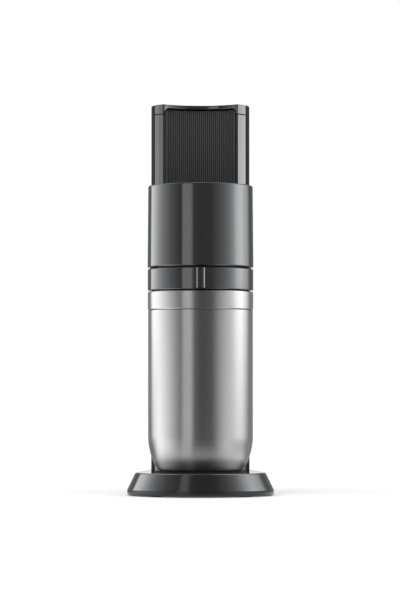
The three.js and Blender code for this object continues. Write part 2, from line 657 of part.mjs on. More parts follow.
function makeGas() {
  const at = [0, GAS_Y];
  const tank = turned([...tankOutline(0), ...tankOutline(TANK_WALL).reverse()], MEDIUM, ...at);
  addPiece("gas_cylinder", tank, finishes.tank);

  const cupR = TANK_R + SEAT + CUP_WALL;
  const cupFloor = TANK_Z0 - SEAT;
  const cupTop = COLUMN_Z0 + CUP_HEIGHT;
  const cup = turned(
    [
      [0, COLUMN_Z0], [cupR, COLUMN_Z0], [cupR, cupTop],
      [TANK_R + SEAT, cupTop], [TANK_R + SEAT, cupFloor], [0, cupFloor],
    ],
    MEDIUM, ...at,
  );
  addPiece("cylinder_seat", cup, finishes.satin);

  const hexZ0 = TANK_Z1 + SEAT;
  const valve = disc(HEX_R, hexZ0, HEX_Z1, HEX_SIDES, ...at)
    .add(disc(STEM_R, hexZ0, VALVE_Z1, MEDIUM, ...at))
    .add(disc(TANK_BORE_R - SEAT, TANK_Z1 - PLUG_DEPTH, hexZ0 + OVERRUN, SMALL, ...at))
    .subtract(disc(VALVE_PIN_R + SEAT, VALVE_Z1 - VALVE_BORE_DEPTH, VALVE_Z1 + OVERRUN, SMALL, ...at));
  addPiece("cylinder_valve", valve, finishes.brass);
  const pinZ0 = VALVE_Z1 - VALVE_BORE_DEPTH + PLUNGER_STROKE + SEAT;
  const pinZ1 = VALVE_Z1 + VALVE_PIN_PROUD;
  addPiece("valve_pin", disc(VALVE_PIN_R, pinZ0, pinZ1, SMALL, ...at), finishes.brushed);

  // The block takes the valve from behind, through a slot, and seals on its top.
  const x = BLOCK_HALF_WIDTH;
  const below = BLOCK_Z0 - OVERRUN;
  const above = BLOCK_Z1 + OVERRUN;
  const gasketZ0 = VALVE_Z1 + SEAT;
  const ceiling = gasketZ0 + GASKET_THICKNESS + SEAT;
  const chamberZ1 = VALVE_Z1 + CHAMBER_HEIGHT;
  const stemGap = STEM_R + SEAT;
  const rearY = GAS_Y + BLOCK_REAR;
  let body = block(-x, x, GAS_Y - BLOCK_FRONT, rearY, BLOCK_Z0, BLOCK_Z1)
    .subtract(disc(stemGap, below, ceiling, MEDIUM, ...at))
    .subtract(block(-stemGap, stemGap, GAS_Y, rearY + OVERRUN, below, gasketZ0))
    .subtract(disc(CHAMBER_R, ceiling - OVERRUN, chamberZ1, SMALL, ...at))
    .subtract(disc(PLUNGER_R + PIN_GAP, chamberZ1 - OVERRUN, above, SMALL, ...at));
  both((side, sign) => {
    const screwX = sign * BLOCK_SCREW_X;
    const screwZ0 = SHELF_Z0 - BLOCK_SCREW_DEPTH - SEAT;
    const [x0, x1] = spanX(sign, x - CLAMP_PIN_SUNK - SEAT, x + OVERRUN);
    body = body
      .subtract(disc(SCREW_R + SEAT, screwZ0, above, SMALL, screwX, BLOCK_SCREW_Y))
      .subtract(crossBar(CLAMP_PIN_R + SEAT, x0, x1, CLAMP_PIVOT_Y, CLAMP_PIVOT_Z));
  });
  addPiece("valve_block", body, finishes.satin);
  const gasketZ1 = gasketZ0 + GASKET_THICKNESS;
  const gasket = ring(GASKET_HOLE_R, GASKET_R, gasketZ0, gasketZ1, SMALL, ...at);
  addPiece("valve_gasket", gasket, finishes.rubber);

  // plunger: a foot on the pin, a stem through the block, a flange for the spring
  const plunger = disc(PLUNGER_R, pinZ1 + SEAT, PLUNGER_Z1, SMALL, ...at)
    .add(disc(FLANGE_R, FLANGE_Z0, FLANGE_Z0 + SHEET, SMALL, ...at));
  addPiece("valve_plunger", plunger, finishes.brushed);
  const wireGap = SPRING_WIRE_R + SEAT;
  const wire = new Helix(SPRING_R, BLOCK_Z1 + wireGap, FLANGE_Z0 - wireGap, SPRING_TURNS, ...at);
  addPiece("plunger_spring", swept(wire, SPRING_WIRE_R, THIN, 8 * SPRING_TURNS), finishes.brushed);
}

// Clamp: a yoke round the valve block, with a grip behind, swings up to free the cylinder

const YOKE_GAP = 1.5;
const YOKE_WALL = 3;
const YOKE_HALF_HEIGHT = 4.5;
const YOKE_INNER_X = BLOCK_HALF_WIDTH + YOKE_GAP;
const GRIP_HALF_DEPTH = 4;
const GRIP_GAP = 13.8; // to the rear cover's inside
const GRIP_Y = GAS_Y + SHELL_INNER_X - GRIP_GAP - GRIP_HALF_DEPTH;
const GRIP_HALF_HEIGHT = 8;
const GRIP_HALF_WIDTH = 20;

function makeClamp() {
  const outer = YOKE_INNER_X + YOKE_WALL;
  const barY1 = GRIP_Y - GRIP_HALF_DEPTH - SEAT;
  const barY0 = barY1 - YOKE_WALL;
  const z0 = CLAMP_PIVOT_Z - YOKE_HALF_HEIGHT;
  const z1 = CLAMP_PIVOT_Z + YOKE_HALF_HEIGHT;
  const axle = (r, [x0, x1]) => crossBar(r, x0, x1, CLAMP_PIVOT_Y, CLAMP_PIVOT_Z);
  let yoke = block(-outer, outer, barY0, barY1, z0, z1);
  both((side, sign) => {
    const [x0, x1] = spanX(sign, YOKE_INNER_X, outer);
    const headX = outer + SEAT;
    yoke = yoke
      .add(block(x0, x1, CLAMP_PIVOT_Y, barY1, z0, z1))
      .add(axle(YOKE_HALF_HEIGHT, [x0, x1]))
      .subtract(axle(CLAMP_PIN_R + PIN_GAP, [x0 - OVERRUN, x1 + OVERRUN]));
    const shank = spanX(sign, BLOCK_HALF_WIDTH - CLAMP_PIN_SUNK, headX + SEAT);
    const pin = axle(CLAMP_PIN_R, shank)
      .add(axle(CLAMP_PIN_R + OVERRUN, spanX(sign, headX, headX + SHEET / 2)));
    addPiece(`clamp_pin_${side}`, pin, finishes.brushed);
  });
  addPiece("clamp_yoke", yoke, finishes.plate);
  const r = GRIP_HALF_DEPTH;
  const right = arcPoints(GRIP_HALF_WIDTH, GRIP_Y, r, r, -Math.PI / 2, Math.PI / 2, 8);
  const left = right.map(([x, y]) => [-x, 2 * GRIP_Y - y]);
  const gripZ0 = CLAMP_PIVOT_Z - GRIP_HALF_HEIGHT;
  const gripZ1 = CLAMP_PIVOT_Z + GRIP_HALF_HEIGHT;
  addPiece("clamp_grip", prism([...right, ...left], gripZ0, gripZ1), finishes.grip);
}

// Lever: the top plate, hinged at the front on two short pins, with a boss over the plunger

const LEVER_WALL = 2;
const HINGE_DROP = 8;
const HINGE_Z = HEIGHT - HINGE_DROP;
const HINGE_PIN_R = 1.5;
const EAR_WALL = 2.4;
const EAR_R = 2.6;
const EAR_ROOT = 10.4; // depth of the lug below its pin
const ARCH_R = 4.5; // inner corner of the arch over the panel
const ARCH_STEPS = 5;
const DISH_DEPTH = 2;
const DISH_SPAN = 78;
const DISH_MARGIN = 7;
const DISH_FACETS = 3 * FINE;
const BOSS_R = 6;
const BOSS_PAD_DEPTH = 18;

// Outline of the lever's plate: hollow front edge, horn corners, straight sides, round back.
function leverOutline(inset) {
  const half = hornSide(inset).slice(1);
  const r = HORN_HALF_WIDTH - inset;
  const rear = arcPoints(0, GAS_Y, r, r, 0, Math.PI, MEDIUM / 2);
  const front = [...half, ...mirrored(half.slice(0, -1))].reverse();
  return [...front, ...rear];
}

function makeLever(cover) {
  const legZ0 = HORN_TOP_Z + SEAM;
  const plateZ0 = LEVER_PLATE_Z;
  const archX = WINDOW_HALF_WIDTH;
  const archRear = COVER_REAR_Y + SHEET;
  const legY = HORN_TIP_Y + LEVER_WALL / 2;
  const archY = legY + ARCH_R;
  let cap = prism(leverOutline(0), legZ0, HEIGHT);
  cap = cap.subtract(prism(leverOutline(LEVER_WALL), legZ0 - OVERRUN, plateZ0));
  // the arch over the ribbed panel, with rounded upper corners, and the legs' inner sides
  both((side, sign) => {
    const [x0, x1] = spanX(sign, archX, archX + EAR_WALL);
    cap = cap.add(block(x0, x1, legY, archRear, legZ0, plateZ0 + OVERRUN));
    const [c0, c1] = spanX(sign, archX - ARCH_R, archX + EAR_WALL);
    cap = cap.add(block(c0, c1, legY, archY, legZ0, plateZ0 + OVERRUN));
  });
  const cornerX = archX - ARCH_R;
  const corner = arcPoints(cornerX, plateZ0 - ARCH_R, ARCH_R, ARCH_R, 0, Math.PI / 2, ARCH_STEPS);
  const under = [[archX, legZ0 - OVERRUN], ...corner];
  const behind = archY - OVERRUN / 2;
  cap = cap
    .subtract(upright([...under, ...mirrored(under)], HORN_TIP_Y - OVERRUN, archY))
    .subtract(block(-archX, archX, behind, archRear, legZ0 - OVERRUN, plateZ0));
  // shallow dish for the palm, a slice of a long round bar
  const dishR = (DISH_SPAN ** 2 / 4 + DISH_DEPTH ** 2) / (2 * DISH_DEPTH);
  const dishY0 = CRADLE_R + DISH_MARGIN;
  const dishY1 = GAS_Y + HORN_HALF_WIDTH - DISH_MARGIN;
  const dishZ = HEIGHT - DISH_DEPTH + dishR;
  cap = cap.subtract(lengthBar(dishR, 0, dishY0, dishY1, dishZ, DISH_FACETS));
  // hinge: a lug of the front cover beside each leg's inner side
  let ears = cover;
  both((side, sign) => {
    const lugX0 = archX + EAR_WALL + SEAT;
    const lugX1 = lugX0 + EAR_WALL;
    const y0 = HINGE_Y - EAR_R;
    const y1 = HINGE_Y + EAR_R;
    const rootZ = HINGE_Z - EAR_ROOT;
    const axle = (r, [x0, x1]) => crossBar(r, x0, x1, HINGE_Y, HINGE_Z);
    const hole = axle(HINGE_PIN_R + PIN_GAP, spanX(sign, archX - OVERRUN, lugX1 + OVERRUN));
    const [a, b] = spanX(sign, lugX0, lugX1);
    const [w0, w1] = spanX(sign, lugX0, HORN_HALF_WIDTH - COVER_WALL / 2);
    cap = cap.subtract(hole);
    ears = ears
      .add(axle(EAR_R, [a, b]))
      .add(block(a, b, y0, y1, rootZ, HINGE_Z))
      .add(block(w0, w1, y0, y1, rootZ, HORN_TOP_Z - EAR_R))
      .subtract(hole);
    const pin = axle(HINGE_PIN_R, spanX(sign, archX + SEAT, lugX1));
    addPiece(`hinge_pin_${side}`, pin, finishes.brushed);
  });
  addPiece("front_cover", ears, finishes.gloss);
  addPiece("lever_cap", cap, finishes.satin);
  // rounded boss under the plate, that bears on the plunger
  const bossZ = PLUNGER_Z1 + SEAT + BOSS_R;
  const padZ1 = plateZ0 - SEAT;
  const padY0 = GAS_Y - BOSS_PAD_DEPTH;
  const padY1 = GAS_Y + BOSS_PAD_DEPTH;
  const ball = new THREE.SphereGeometry(BOSS_R, SMALL, SMALL / 2);
  const boss = solid(ball.rotateX(Math.PI / 2).translate(0, GAS_Y, bossZ))
    .add(disc(BOSS_R, bossZ, padZ1, SMALL, 0, GAS_Y))
    .add(block(-SHELF_HALF_WIDTH, SHELF_HALF_WIDTH, padY0, padY1, padZ1 - SHEET, padZ1));
  addPiece("lever_boss", boss, finishes.satin);
}

// Head: glossy shell that saddles the column, lid, floor and the parts that seal and fill the bottle

const HEAD_WALL = 2.2;
const HEAD_FLARE = 0.7;
const HEAD_EDGE = 1.5;
const HEAD_INNER_R = COLUMN_HALF_WIDTH + SLIDE_GAP;
const HEAD_TOP_R = HEAD_INNER_R + HEAD_WALL;
const HEAD_FOOT_R = HEAD_TOP_R + HEAD_FLARE;
const HEAD_REAR_R = CRADLE_R - 2 * SLIDE_GAP;
const CHEEK_REACH = 22;
const CHEEK_REAR_Y = HORN_SIDE_Y + CHEEK_REACH;
const LID_DROP = 3.8;
const LID_Z0 = HEAD_Z1 - LID_DROP;
const LID_THICKNESS = 2.8;
const LID_SIDE_GAP = 2;
const LID_SIDE_Y = HORN_TIP_Y - LID_SIDE_GAP;
const LID_NECK_X = WINDOW_HALF_WIDTH - OVERRUN;
const FLOOR_THICKNESS = 3;
const RING_PROUD = 0.5;
const RING_WALL = 8.1;
const RING_R = VESSEL_R + RING_PROUD;
const RING_INNER_R = RING_R - RING_WALL;
const SPIGOT_R = RING_INNER_R - SLIDE_GAP;
const SPIGOT_WALL = 3;
const SPIGOT_LIFT = 5.5; // of the spigot's foot above the ring's
const SPIGOT_Z0 = RING_Z0 + SPIGOT_LIFT;
const LIP_LIFT = 11.5;
const LIP_PROUD = 2;
const LIP_HEIGHT = 2;
const LIP_R = SPIGOT_R + LIP_PROUD;
const LIP_Z0 = RING_Z0 + LIP_LIFT;
const ARM_THICKNESS = 0.9;
const ARM_REACH = 40;
const ARM_FRONT_Y = SHELL_FRONT_Y - ARM_REACH;
const ARM_REAR_Y = BRIDGE_Y1;
const ARM_OUTER_X = SHELL_INNER_X - (SLOT_WIDTH - ARM_THICKNESS) / 2;
const BUSH_R = 6;
const NOZZLE_BLOCK_R = 20;
const NOZZLE_BLOCK_HEIGHT = 47.6;
const NOZZLE_BLOCK_Z0 = LID_Z0 - NOZZLE_BLOCK_HEIGHT;
const NOZZLE_SUNK = 16;
const NOZZLE_LENGTH = 54;
const NOZZLE_Z0 = NOZZLE_BLOCK_Z0 - NOZZLE_LENGTH;
const NOZZLE_TIP_LENGTH = 9;
const NOZZLE_R = 3;
const JET_R = 1;
const SEAL_HEIGHT = 8;
const SEAL_R = 17;
const SEAL_HOLE_R = 8;
const TAPER = 5; // chamfer round the foot of the nozzle block and of the seal
const RELIEF_X = 28;
const RELIEF_R = 4;
const RELIEF_WALL = 3.5;
const RELIEF_HEIGHT = 20;

function headOutline(r) {
  const front = arcPoints(0, 0, r, r, -Math.PI, 0, FINE / 2);
  return [[-r, CHEEK_REAR_Y], ...front, [r, CHEEK_REAR_Y]];
}

// Plan of the lid and floor: round front, then a rounded neck that nests in the hollow column.
function headPlan(r, rearR) {
  const neck = Math.acos(LID_NECK_X / rearR);
  return [
    ...arcPoints(0, 0, r, r, -Math.PI, 0, FINE / 2),
    [r, LID_SIDE_Y],
    [LID_NECK_X, LID_SIDE_Y],
    ...arcPoints(0, 0, rearR, rearR, neck, Math.PI - neck, 12),
    [-LID_NECK_X, LID_SIDE_Y],
    [-r, LID_SIDE_Y],
  ];
}

function makeHead() {
  let shell = loft([
    { z: HEAD_Z0, points: headOutline(HEAD_FOOT_R - HEAD_EDGE) },
    { z: HEAD_Z0 + HEAD_EDGE / 3, points: headOutline(HEAD_FOOT_R - HEAD_EDGE / 3) },
    { z: HEAD_Z0 + HEAD_EDGE, points: headOutline(HEAD_FOOT_R) },
    { z: HEAD_Z1 - HEAD_EDGE, points: headOutline(HEAD_TOP_R) },
    { z: HEAD_Z1 - HEAD_EDGE / 3, points: headOutline(HEAD_TOP_R - HEAD_EDGE / 3) },
    { z: HEAD_Z1, points: headOutline(HEAD_TOP_R - HEAD_EDGE) },
  ]);
  const cavity = headOutline(HEAD_INNER_R).map(([x, y]) => [x, y > 0 ? y + OVERRUN : y]);
  shell = shell.subtract(prism(cavity, HEAD_Z0 - OVERRUN, HEAD_Z1 + OVERRUN));
  both((side, sign) => {
    const [x0, x1] = spanX(sign, ARM_OUTER_X + SEAT, HEAD_INNER_R + OVERRUN);
    shell = shell.add(block(x0, x1, ARM_FRONT_Y, LID_SIDE_Y - SEAT, ARM_Z0, ARM_Z1));
    const [a, b] = spanX(sign, ARM_OUTER_X - ARM_THICKNESS, ARM_OUTER_X);
    const arm = block(a, b, ARM_FRONT_Y, ARM_REAR_Y, ARM_Z0, ARM_Z1);
    addPiece(`carriage_arm_${side}`, arm, finishes.plate);
  });
  addPiece("head_shell", shell, finishes.gloss);

  const plan = headPlan(HEAD_INNER_R - SEAT, HEAD_REAR_R);
  addPiece("head_lid", prism(plan, LID_Z0, LID_Z0 + LID_THICKNESS), finishes.gloss);
  const floorZ0 = HEAD_Z0 + HEAD_EDGE;
  const floorZ1 = floorZ0 + FLOOR_THICKNESS;
  const floor = prism(plan, floorZ0, floorZ1)
    .add(disc(SPIGOT_R, SPIGOT_Z0, floorZ0 + OVERRUN, FINE))
    .add(disc(LIP_R, LIP_Z0, LIP_Z0 + LIP_HEIGHT, FINE))
    .subtract(disc(SPIGOT_R - SPIGOT_WALL, SPIGOT_Z0 - OVERRUN, floorZ1 + OVERRUN, FINE));
  addPiece("head_floor", floor, finishes.satin);

  // carriage: a bridge between the arms that runs on the guide rods
  const bridgeX = ARM_OUTER_X - ARM_THICKNESS - SEAT;
  const bushZ0 = BRIDGE_Z0 - OVERRUN;
  const bushZ1 = BRIDGE_Z1 + OVERRUN;
  let bridge = block(-bridgeX, bridgeX, BRIDGE_Y0, BRIDGE_Y1, BRIDGE_Z0, BRIDGE_Z1);
  both((side, sign) => {
    const at = [sign * ROD_X, ROD_Y];
    bridge = bridge
      .add(disc(BUSH_R + SHEET, BRIDGE_Z0, BRIDGE_Z1, SMALL, ...at))
      .subtract(disc(BUSH_R + SEAT, bushZ0, bushZ1, SMALL, ...at));
    const bush = ring(ROD_R + PIN_GAP, BUSH_R, bushZ0, bushZ1, SMALL, ...at);
    addPiece(`guide_bush_${side}`, bush, finishes.brass);
  });
  const pocketX = ROD_X - BUSH_R - 2 * SHEET;
  const pocketY0 = BRIDGE_Y0 - OVERRUN;
  const pocketY1 = BRIDGE_Y1 - SHEET;
  bridge = bridge.subtract(
    block(-pocketX, pocketX, pocketY0, pocketY1, BRIDGE_Z0 + 2 * SHEET, BRIDGE_Z1 + OVERRUN),
  );
  addPiece("carriage_bridge", bridge, finishes.satin);

  // valve body under the lid, seal and nozzle
  const blockTop = LID_Z0 - SEAT;
  const tubeTop = NOZZLE_BLOCK_Z0 + NOZZLE_SUNK;
  const reliefZ0 = blockTop - RELIEF_HEIGHT;
  const reliefTop = reliefZ0 + RELIEF_HEIGHT - RELIEF_R;
  const reliefAt = [RELIEF_X, 0];
  const nozzleBody = turned(
    [
      [0, NOZZLE_BLOCK_Z0], [NOZZLE_BLOCK_R - TAPER, NOZZLE_BLOCK_Z0],
      [NOZZLE_BLOCK_R, NOZZLE_BLOCK_Z0 + TAPER], [NOZZLE_BLOCK_R, blockTop], [0, blockTop],
    ],
    MEDIUM,
  )
    .add(disc(RELIEF_R + RELIEF_WALL, reliefZ0, blockTop, SMALL, ...reliefAt))
    .add(block(0, RELIEF_X, -RELIEF_R, RELIEF_R, reliefZ0 + RELIEF_R, blockTop))
    .subtract(disc(NOZZLE_R + SEAT, NOZZLE_BLOCK_Z0 - OVERRUN, tubeTop + SEAT, SMALL))
    .subtract(disc(RELIEF_R + SEAT, reliefZ0 - OVERRUN, reliefTop + SEAT, SMALL, ...reliefAt));
  addPiece("nozzle_block", nozzleBody, finishes.satin);
  const reliefFoot = reliefZ0 - SEAT - RELIEF_R;
  const relief = disc(RELIEF_R, reliefFoot, reliefTop, SMALL, ...reliefAt)
    .add(disc(RELIEF_R + 2 * OVERRUN, reliefFoot, reliefZ0 - SEAT, HEX_SIDES, ...reliefAt));
  addPiece("relief_valve", relief, finishes.brass);
  const sealZ0 = NOZZLE_BLOCK_Z0 - SEAL_HEIGHT;
  const sealZ1 = NOZZLE_BLOCK_Z0 - SEAT;
  const seal = turned(
    [
      [SEAL_HOLE_R, sealZ0], [SEAL_R - TAPER, sealZ0], [SEAL_R, sealZ0 + TAPER],
      [SEAL_R, sealZ1], [SEAL_HOLE_R, sealZ1],
    ],
    MEDIUM,
  );
  addPiece("bottle_seal", seal, finishes.rubber);
  addPiece("nozzle_tube", disc(NOZZLE_R, NOZZLE_Z0 + SEAT, tubeTop, SMALL), finishes.satin);
  const tipZ0 = NOZZLE_Z0 - NOZZLE_TIP_LENGTH;
  const tip = turned(
    [
      [JET_R, tipZ0], [NOZZLE_R - JET_R, tipZ0], [NOZZLE_R + JET_R, tipZ0 + TAPER],
      [NOZZLE_R + JET_R, NOZZLE_Z0], [JET_R, NOZZLE_Z0],
    ],
    SMALL,
  );
  addPiece("nozzle_tip", tip, finishes.satin);
}

// Gas line: pipe down behind the channel, coiled hose to the carriage, capillary through the slot

const CAPILLARY_R = 0.5;
const CAPILLARY_BEND = 2;
const PIPE_START_X = -8;
const PIPE_LIFT = 28; // of the pipe's start above the block's foot
const PIPE_Z = BLOCK_Z0 + PIPE_LIFT;

function smoothPath(points) {
  const at = points.map(([x, y, z]) => new THREE.Vector3(x, y, z));
  return new THREE.CatmullRomCurve3(at, false, "centripetal");
}

function makeGasLine() {
  const pipeY = WEB_Y0 + SHEET + 3 * PIPE_R;
  const pipe = smoothPath([
    [PIPE_START_X, GAS_Y - BLOCK_FRONT - SEAT, PIPE_Z],
    [PIPE_START_X, pipeY + 2 * PIPE_R, PIPE_Z],
    [PIPE_START_X - 2 * PIPE_R, pipeY, PIPE_Z],
    [PIPE_X + 2 * PIPE_R, pipeY, PIPE_Z - PIPE_R / 2],
    [PIPE_X, pipeY, PIPE_Z - 5 * PIPE_R],
    [PIPE_X, pipeY, PIPE_HOLE_Z + 6 * PIPE_R],
    [PIPE_X, pipeY - PIPE_R, PIPE_HOLE_Z + PIPE_R],
    [PIPE_X, WEB_Y0 + SHEET / 2, PIPE_HOLE_Z],
    [PIPE_X, ROD_Y + 2 * PIPE_R, PIPE_HOLE_Z],
    [PIPE_X + 2 * PIPE_R, ROD_Y, PIPE_HOLE_Z],
    [0, ROD_Y, PIPE_HOLE_Z],
    [HOSE_COIL_R - PIPE_R / 2, ROD_Y, PIPE_HOLE_Z + PIPE_R / 2],
    [HOSE_COIL_R, ROD_Y, HOSE_Z0 - HOSE_R - SEAT],
  ]);
  addPiece("gas_pipe", swept(pipe, PIPE_R, THIN + 1, FINE), finishes.brass);
  const coil = new Helix(HOSE_COIL_R, HOSE_Z0, HOSE_Z1, HOSE_TURNS, 0, ROD_Y);
  addPiece("gas_hose", swept(coil, HOSE_R, THIN, 8 * HOSE_TURNS), finishes.rubber);

  const bend = CAPILLARY_BEND;
  const startX = -ROD_X - BUSH_R - 2 * SHEET;
  const slotX = -(SHELL_INNER_X - SLOT_WIDTH / 2);
  const lineZ = ARM_Z1 + 3 * CAPILLARY_R;
  const line = smoothPath([
    [startX, ROD_Y, BRIDGE_Z1 + SEAT],
    [startX, ROD_Y, lineZ - bend],
    [slotX + bend, ROD_Y - bend / 2, lineZ],
    [slotX, ROD_Y - 2 * bend, lineZ],
    [slotX, COVER_REAR_Y, lineZ],
    [slotX, HORN_TIP_Y, lineZ],
    [slotX, ARM_FRONT_Y + 3 * bend, lineZ],
    [slotX + bend, ARM_FRONT_Y, lineZ],
    [(slotX - NOZZLE_BLOCK_R) / 2, ARM_FRONT_Y / 4, lineZ - 2 * bend],
    [-NOZZLE_BLOCK_R - SEAT, 0, lineZ - 3 * bend],
  ]);
  addPiece("gas_capillary", swept(line, CAPILLARY_R, THIN, MEDIUM), finishes.brass);
}

// Locking ring: turns on the head's spigot by the tab at its front

const RING_EDGE = 1.2;
const RING_GROOVE_R = LIP_R + SEAT;
const CATCH_COUNT = 3;
const CATCH_REACH = 4.5;
const CATCH_HEIGHT = 3.5;
const CATCH_SWEEP = THREE.MathUtils.degToRad(30);
const TAB_HALF_WIDTH = 4.7;
const TAB_PROUD = 3.6;
const TAB_SUNK = 2.2;
const TAB_RIB_R = 2;

function makeRing() {
  const grooveZ0 = LIP_Z0 - SEAT;
  const grooveZ1 = LIP_Z0 + LIP_HEIGHT + SEAT;
  let body = turned(
    [
      [RING_INNER_R, RING_Z0], [RING_R - RING_EDGE, RING_Z0], [RING_R, RING_Z0 + RING_EDGE],
      [RING_R, RING_Z1 - RING_EDGE], [RING_R - RING_EDGE, RING_Z1], [RING_INNER_R, RING_Z1],
      [RING_INNER_R, grooveZ1], [RING_GROOVE_R, grooveZ1],
      [RING_GROOVE_R, grooveZ0], [RING_INNER_R, grooveZ0],
    ],
    FINE,
  );
  // catches that take the bottle's neck
  const catchZ1 = RING_Z0 + CATCH_HEIGHT;
  const band = ring(RING_INNER_R - CATCH_REACH, RING_INNER_R + OVERRUN, RING_Z0, catchZ1, FINE);
  for (let i = 0; i < CATCH_COUNT; i += 1) {
    const angle = (i * 2 * Math.PI) / CATCH_COUNT;
    const [from, to] = [angle, angle + CATCH_SWEEP].map((turn) => [
      2 * RING_R * Math.cos(turn),
      2 * RING_R * Math.sin(turn),
    ]);
    const wedge = prism([[0, 0], from, to], RING_Z0 - OVERRUN, catchZ1 + OVERRUN);
    body = body.add(band.intersect(wedge));
  }
  const pocket = TAB_HALF_WIDTH + SEAT;
  const pocketY = -(RING_R - TAB_SUNK);
  body = body.subtract(
    block(-pocket, pocket, -RING_R - OVERRUN, pocketY, RING_Z0 - OVERRUN, RING_Z1 + OVERRUN),
  );
  addPiece("locking_ring", body, finishes.gloss);

  // thumb tab: a bar with two rounded ribs and a hollow between them
  const r = TAB_RIB_R;
  const ribY = -(RING_R + TAB_PROUD) + r;
  const half = [
    [TAB_HALF_WIDTH, pocketY - SEAT],
    ...arcPoints(TAB_HALF_WIDTH - r, ribY, r, r, 0, -Math.PI, 6),
    [0, ribY - r / 3],
  ];
  const outline = [...half, ...mirrored(half.slice(0, -1))].reverse();
  addPiece("ring_tab", prism(outline, RING_Z0 + SEAT, RING_Z1 - SEAT), finishes.satin);
}

// Vessel: brushed steel cup with a collar and a plastic liner for the bottle

const VESSEL_FOOT_Z0 = BASE_TOP_Z + MAT_PROUD + SEAT;
const VESSEL_FOOT_HEIGHT = 1.5;
const VESSEL_FOOT_INSET = 13.6;
const VESSEL_FOOT_WIDTH = 11;
const VESSEL_BOTTOM_Z = VESSEL_FOOT_Z0 + VESSEL_FOOT_HEIGHT + SEAT;
const VESSEL_BEND_HEIGHT = 42;
const VESSEL_BEND_Z = VESSEL_BOTTOM_Z + VESSEL_BEND_HEIGHT;
const VESSEL_BEND_R = 78; // long curve that draws the side in towards the foot
const VESSEL_CORNER = 1.5;
const VESSEL_WALL = 1.4;
const BEND_STEPS = 4;
const REBATE = 1.9; // the step the collar sits in
const REBATE_R = VESSEL_R - REBATE;
const COLLAR_PROUD = 0.4;
const COLLAR_R = VESSEL_R + COLLAR_PROUD;
const COLLAR_EDGE = 1;
const COLLAR_LIP = 2.5;
const COLLAR_WIDTH = 7.5;
const LINER_WALL = 2;

function vesselCurve(inset) {
  const bottom = VESSEL_BOTTOM_Z + inset;
  const r = VESSEL_BEND_R - inset;
  const reach = Math.asin((VESSEL_BEND_Z - bottom - VESSEL_CORNER) / r);
  const bendX = VESSEL_R - VESSEL_BEND_R;
  const side = arcPoints(bendX, VESSEL_BEND_Z, r, r, -reach, 0, BEND_STEPS);
  return [[side[0][0] - 2 * VESSEL_CORNER, bottom], ...side];
}

function makeVessel() {
  const steelZ = VESSEL_STEEL_TOP_Z;
  const sleeveR = REBATE_R - VESSEL_WALL;
  const sleeveZ = COLLAR_Z1 - COLLAR_LIP - VESSEL_WALL;
  const shell = turned(
    [
      [0, VESSEL_BOTTOM_Z], ...vesselCurve(0), [VESSEL_R, steelZ], [REBATE_R, steelZ],
      [REBATE_R, sleeveZ], [sleeveR, sleeveZ], [sleeveR, steelZ - 2 * VESSEL_WALL],
      [VESSEL_R - VESSEL_WALL, steelZ - 3 * VESSEL_WALL],
      ...vesselCurve(VESSEL_WALL).reverse(), [0, VESSEL_BOTTOM_Z + VESSEL_WALL],
    ],
    FINE,
  );
  addPiece("vessel_shell", shell, finishes.brushed);

  const z0 = steelZ + SEAT;
  const z1 = COLLAR_Z1;
  const inner = REBATE_R + SEAT;
  const mouth = COLLAR_R - COLLAR_WIDTH;
  const collar = turned(
    [
      [inner, z0], [COLLAR_R - COLLAR_EDGE / 2, z0], [COLLAR_R, z0 + COLLAR_EDGE / 2],
      [COLLAR_R, z1 - COLLAR_EDGE], [COLLAR_R - COLLAR_EDGE, z1], [mouth, z1],
      [mouth, z1 - COLLAR_LIP], [inner, z1 - COLLAR_LIP],
    ],
    FINE,
  );
  addPiece("vessel_collar", collar, finishes.brushed);

  const linerR = sleeveR - SEAT;
  const linerTop = z1 - COLLAR_LIP - OVERRUN;
  const linerSide = (inset, limit) => vesselCurve(inset).map(([r, z]) => [Math.min(r, limit), z]);
  const gap = VESSEL_WALL + SEAT;
  const liner = turned(
    [
      [0, VESSEL_BOTTOM_Z + gap], ...linerSide(gap, linerR), [linerR, linerTop],
      [linerR - LINER_WALL, linerTop],
      ...linerSide(gap + LINER_WALL, linerR - LINER_WALL).reverse(),
      [0, VESSEL_BOTTOM_Z + gap + LINER_WALL],
    ],
    MEDIUM,
  );
  addPiece("vessel_liner", liner, finishes.liner);
  const footR = VESSEL_R - VESSEL_FOOT_INSET;
  const footZ1 = VESSEL_FOOT_Z0 + VESSEL_FOOT_HEIGHT;
  const foot = ring(footR - VESSEL_FOOT_WIDTH, footR, VESSEL_FOOT_Z0, footZ1, FINE);
  addPiece("vessel_foot", foot, finishes.rubber);
}

makeBase();
const coverShape = makeColumn();
makeRibbedPanel();
makeRearCover();
makeChassis();
makeGas();
makeClamp();
makeLever(coverShape);
makeHead();
makeGasLine();
makeRing();
makeVessel();

export default machine;
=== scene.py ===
import math

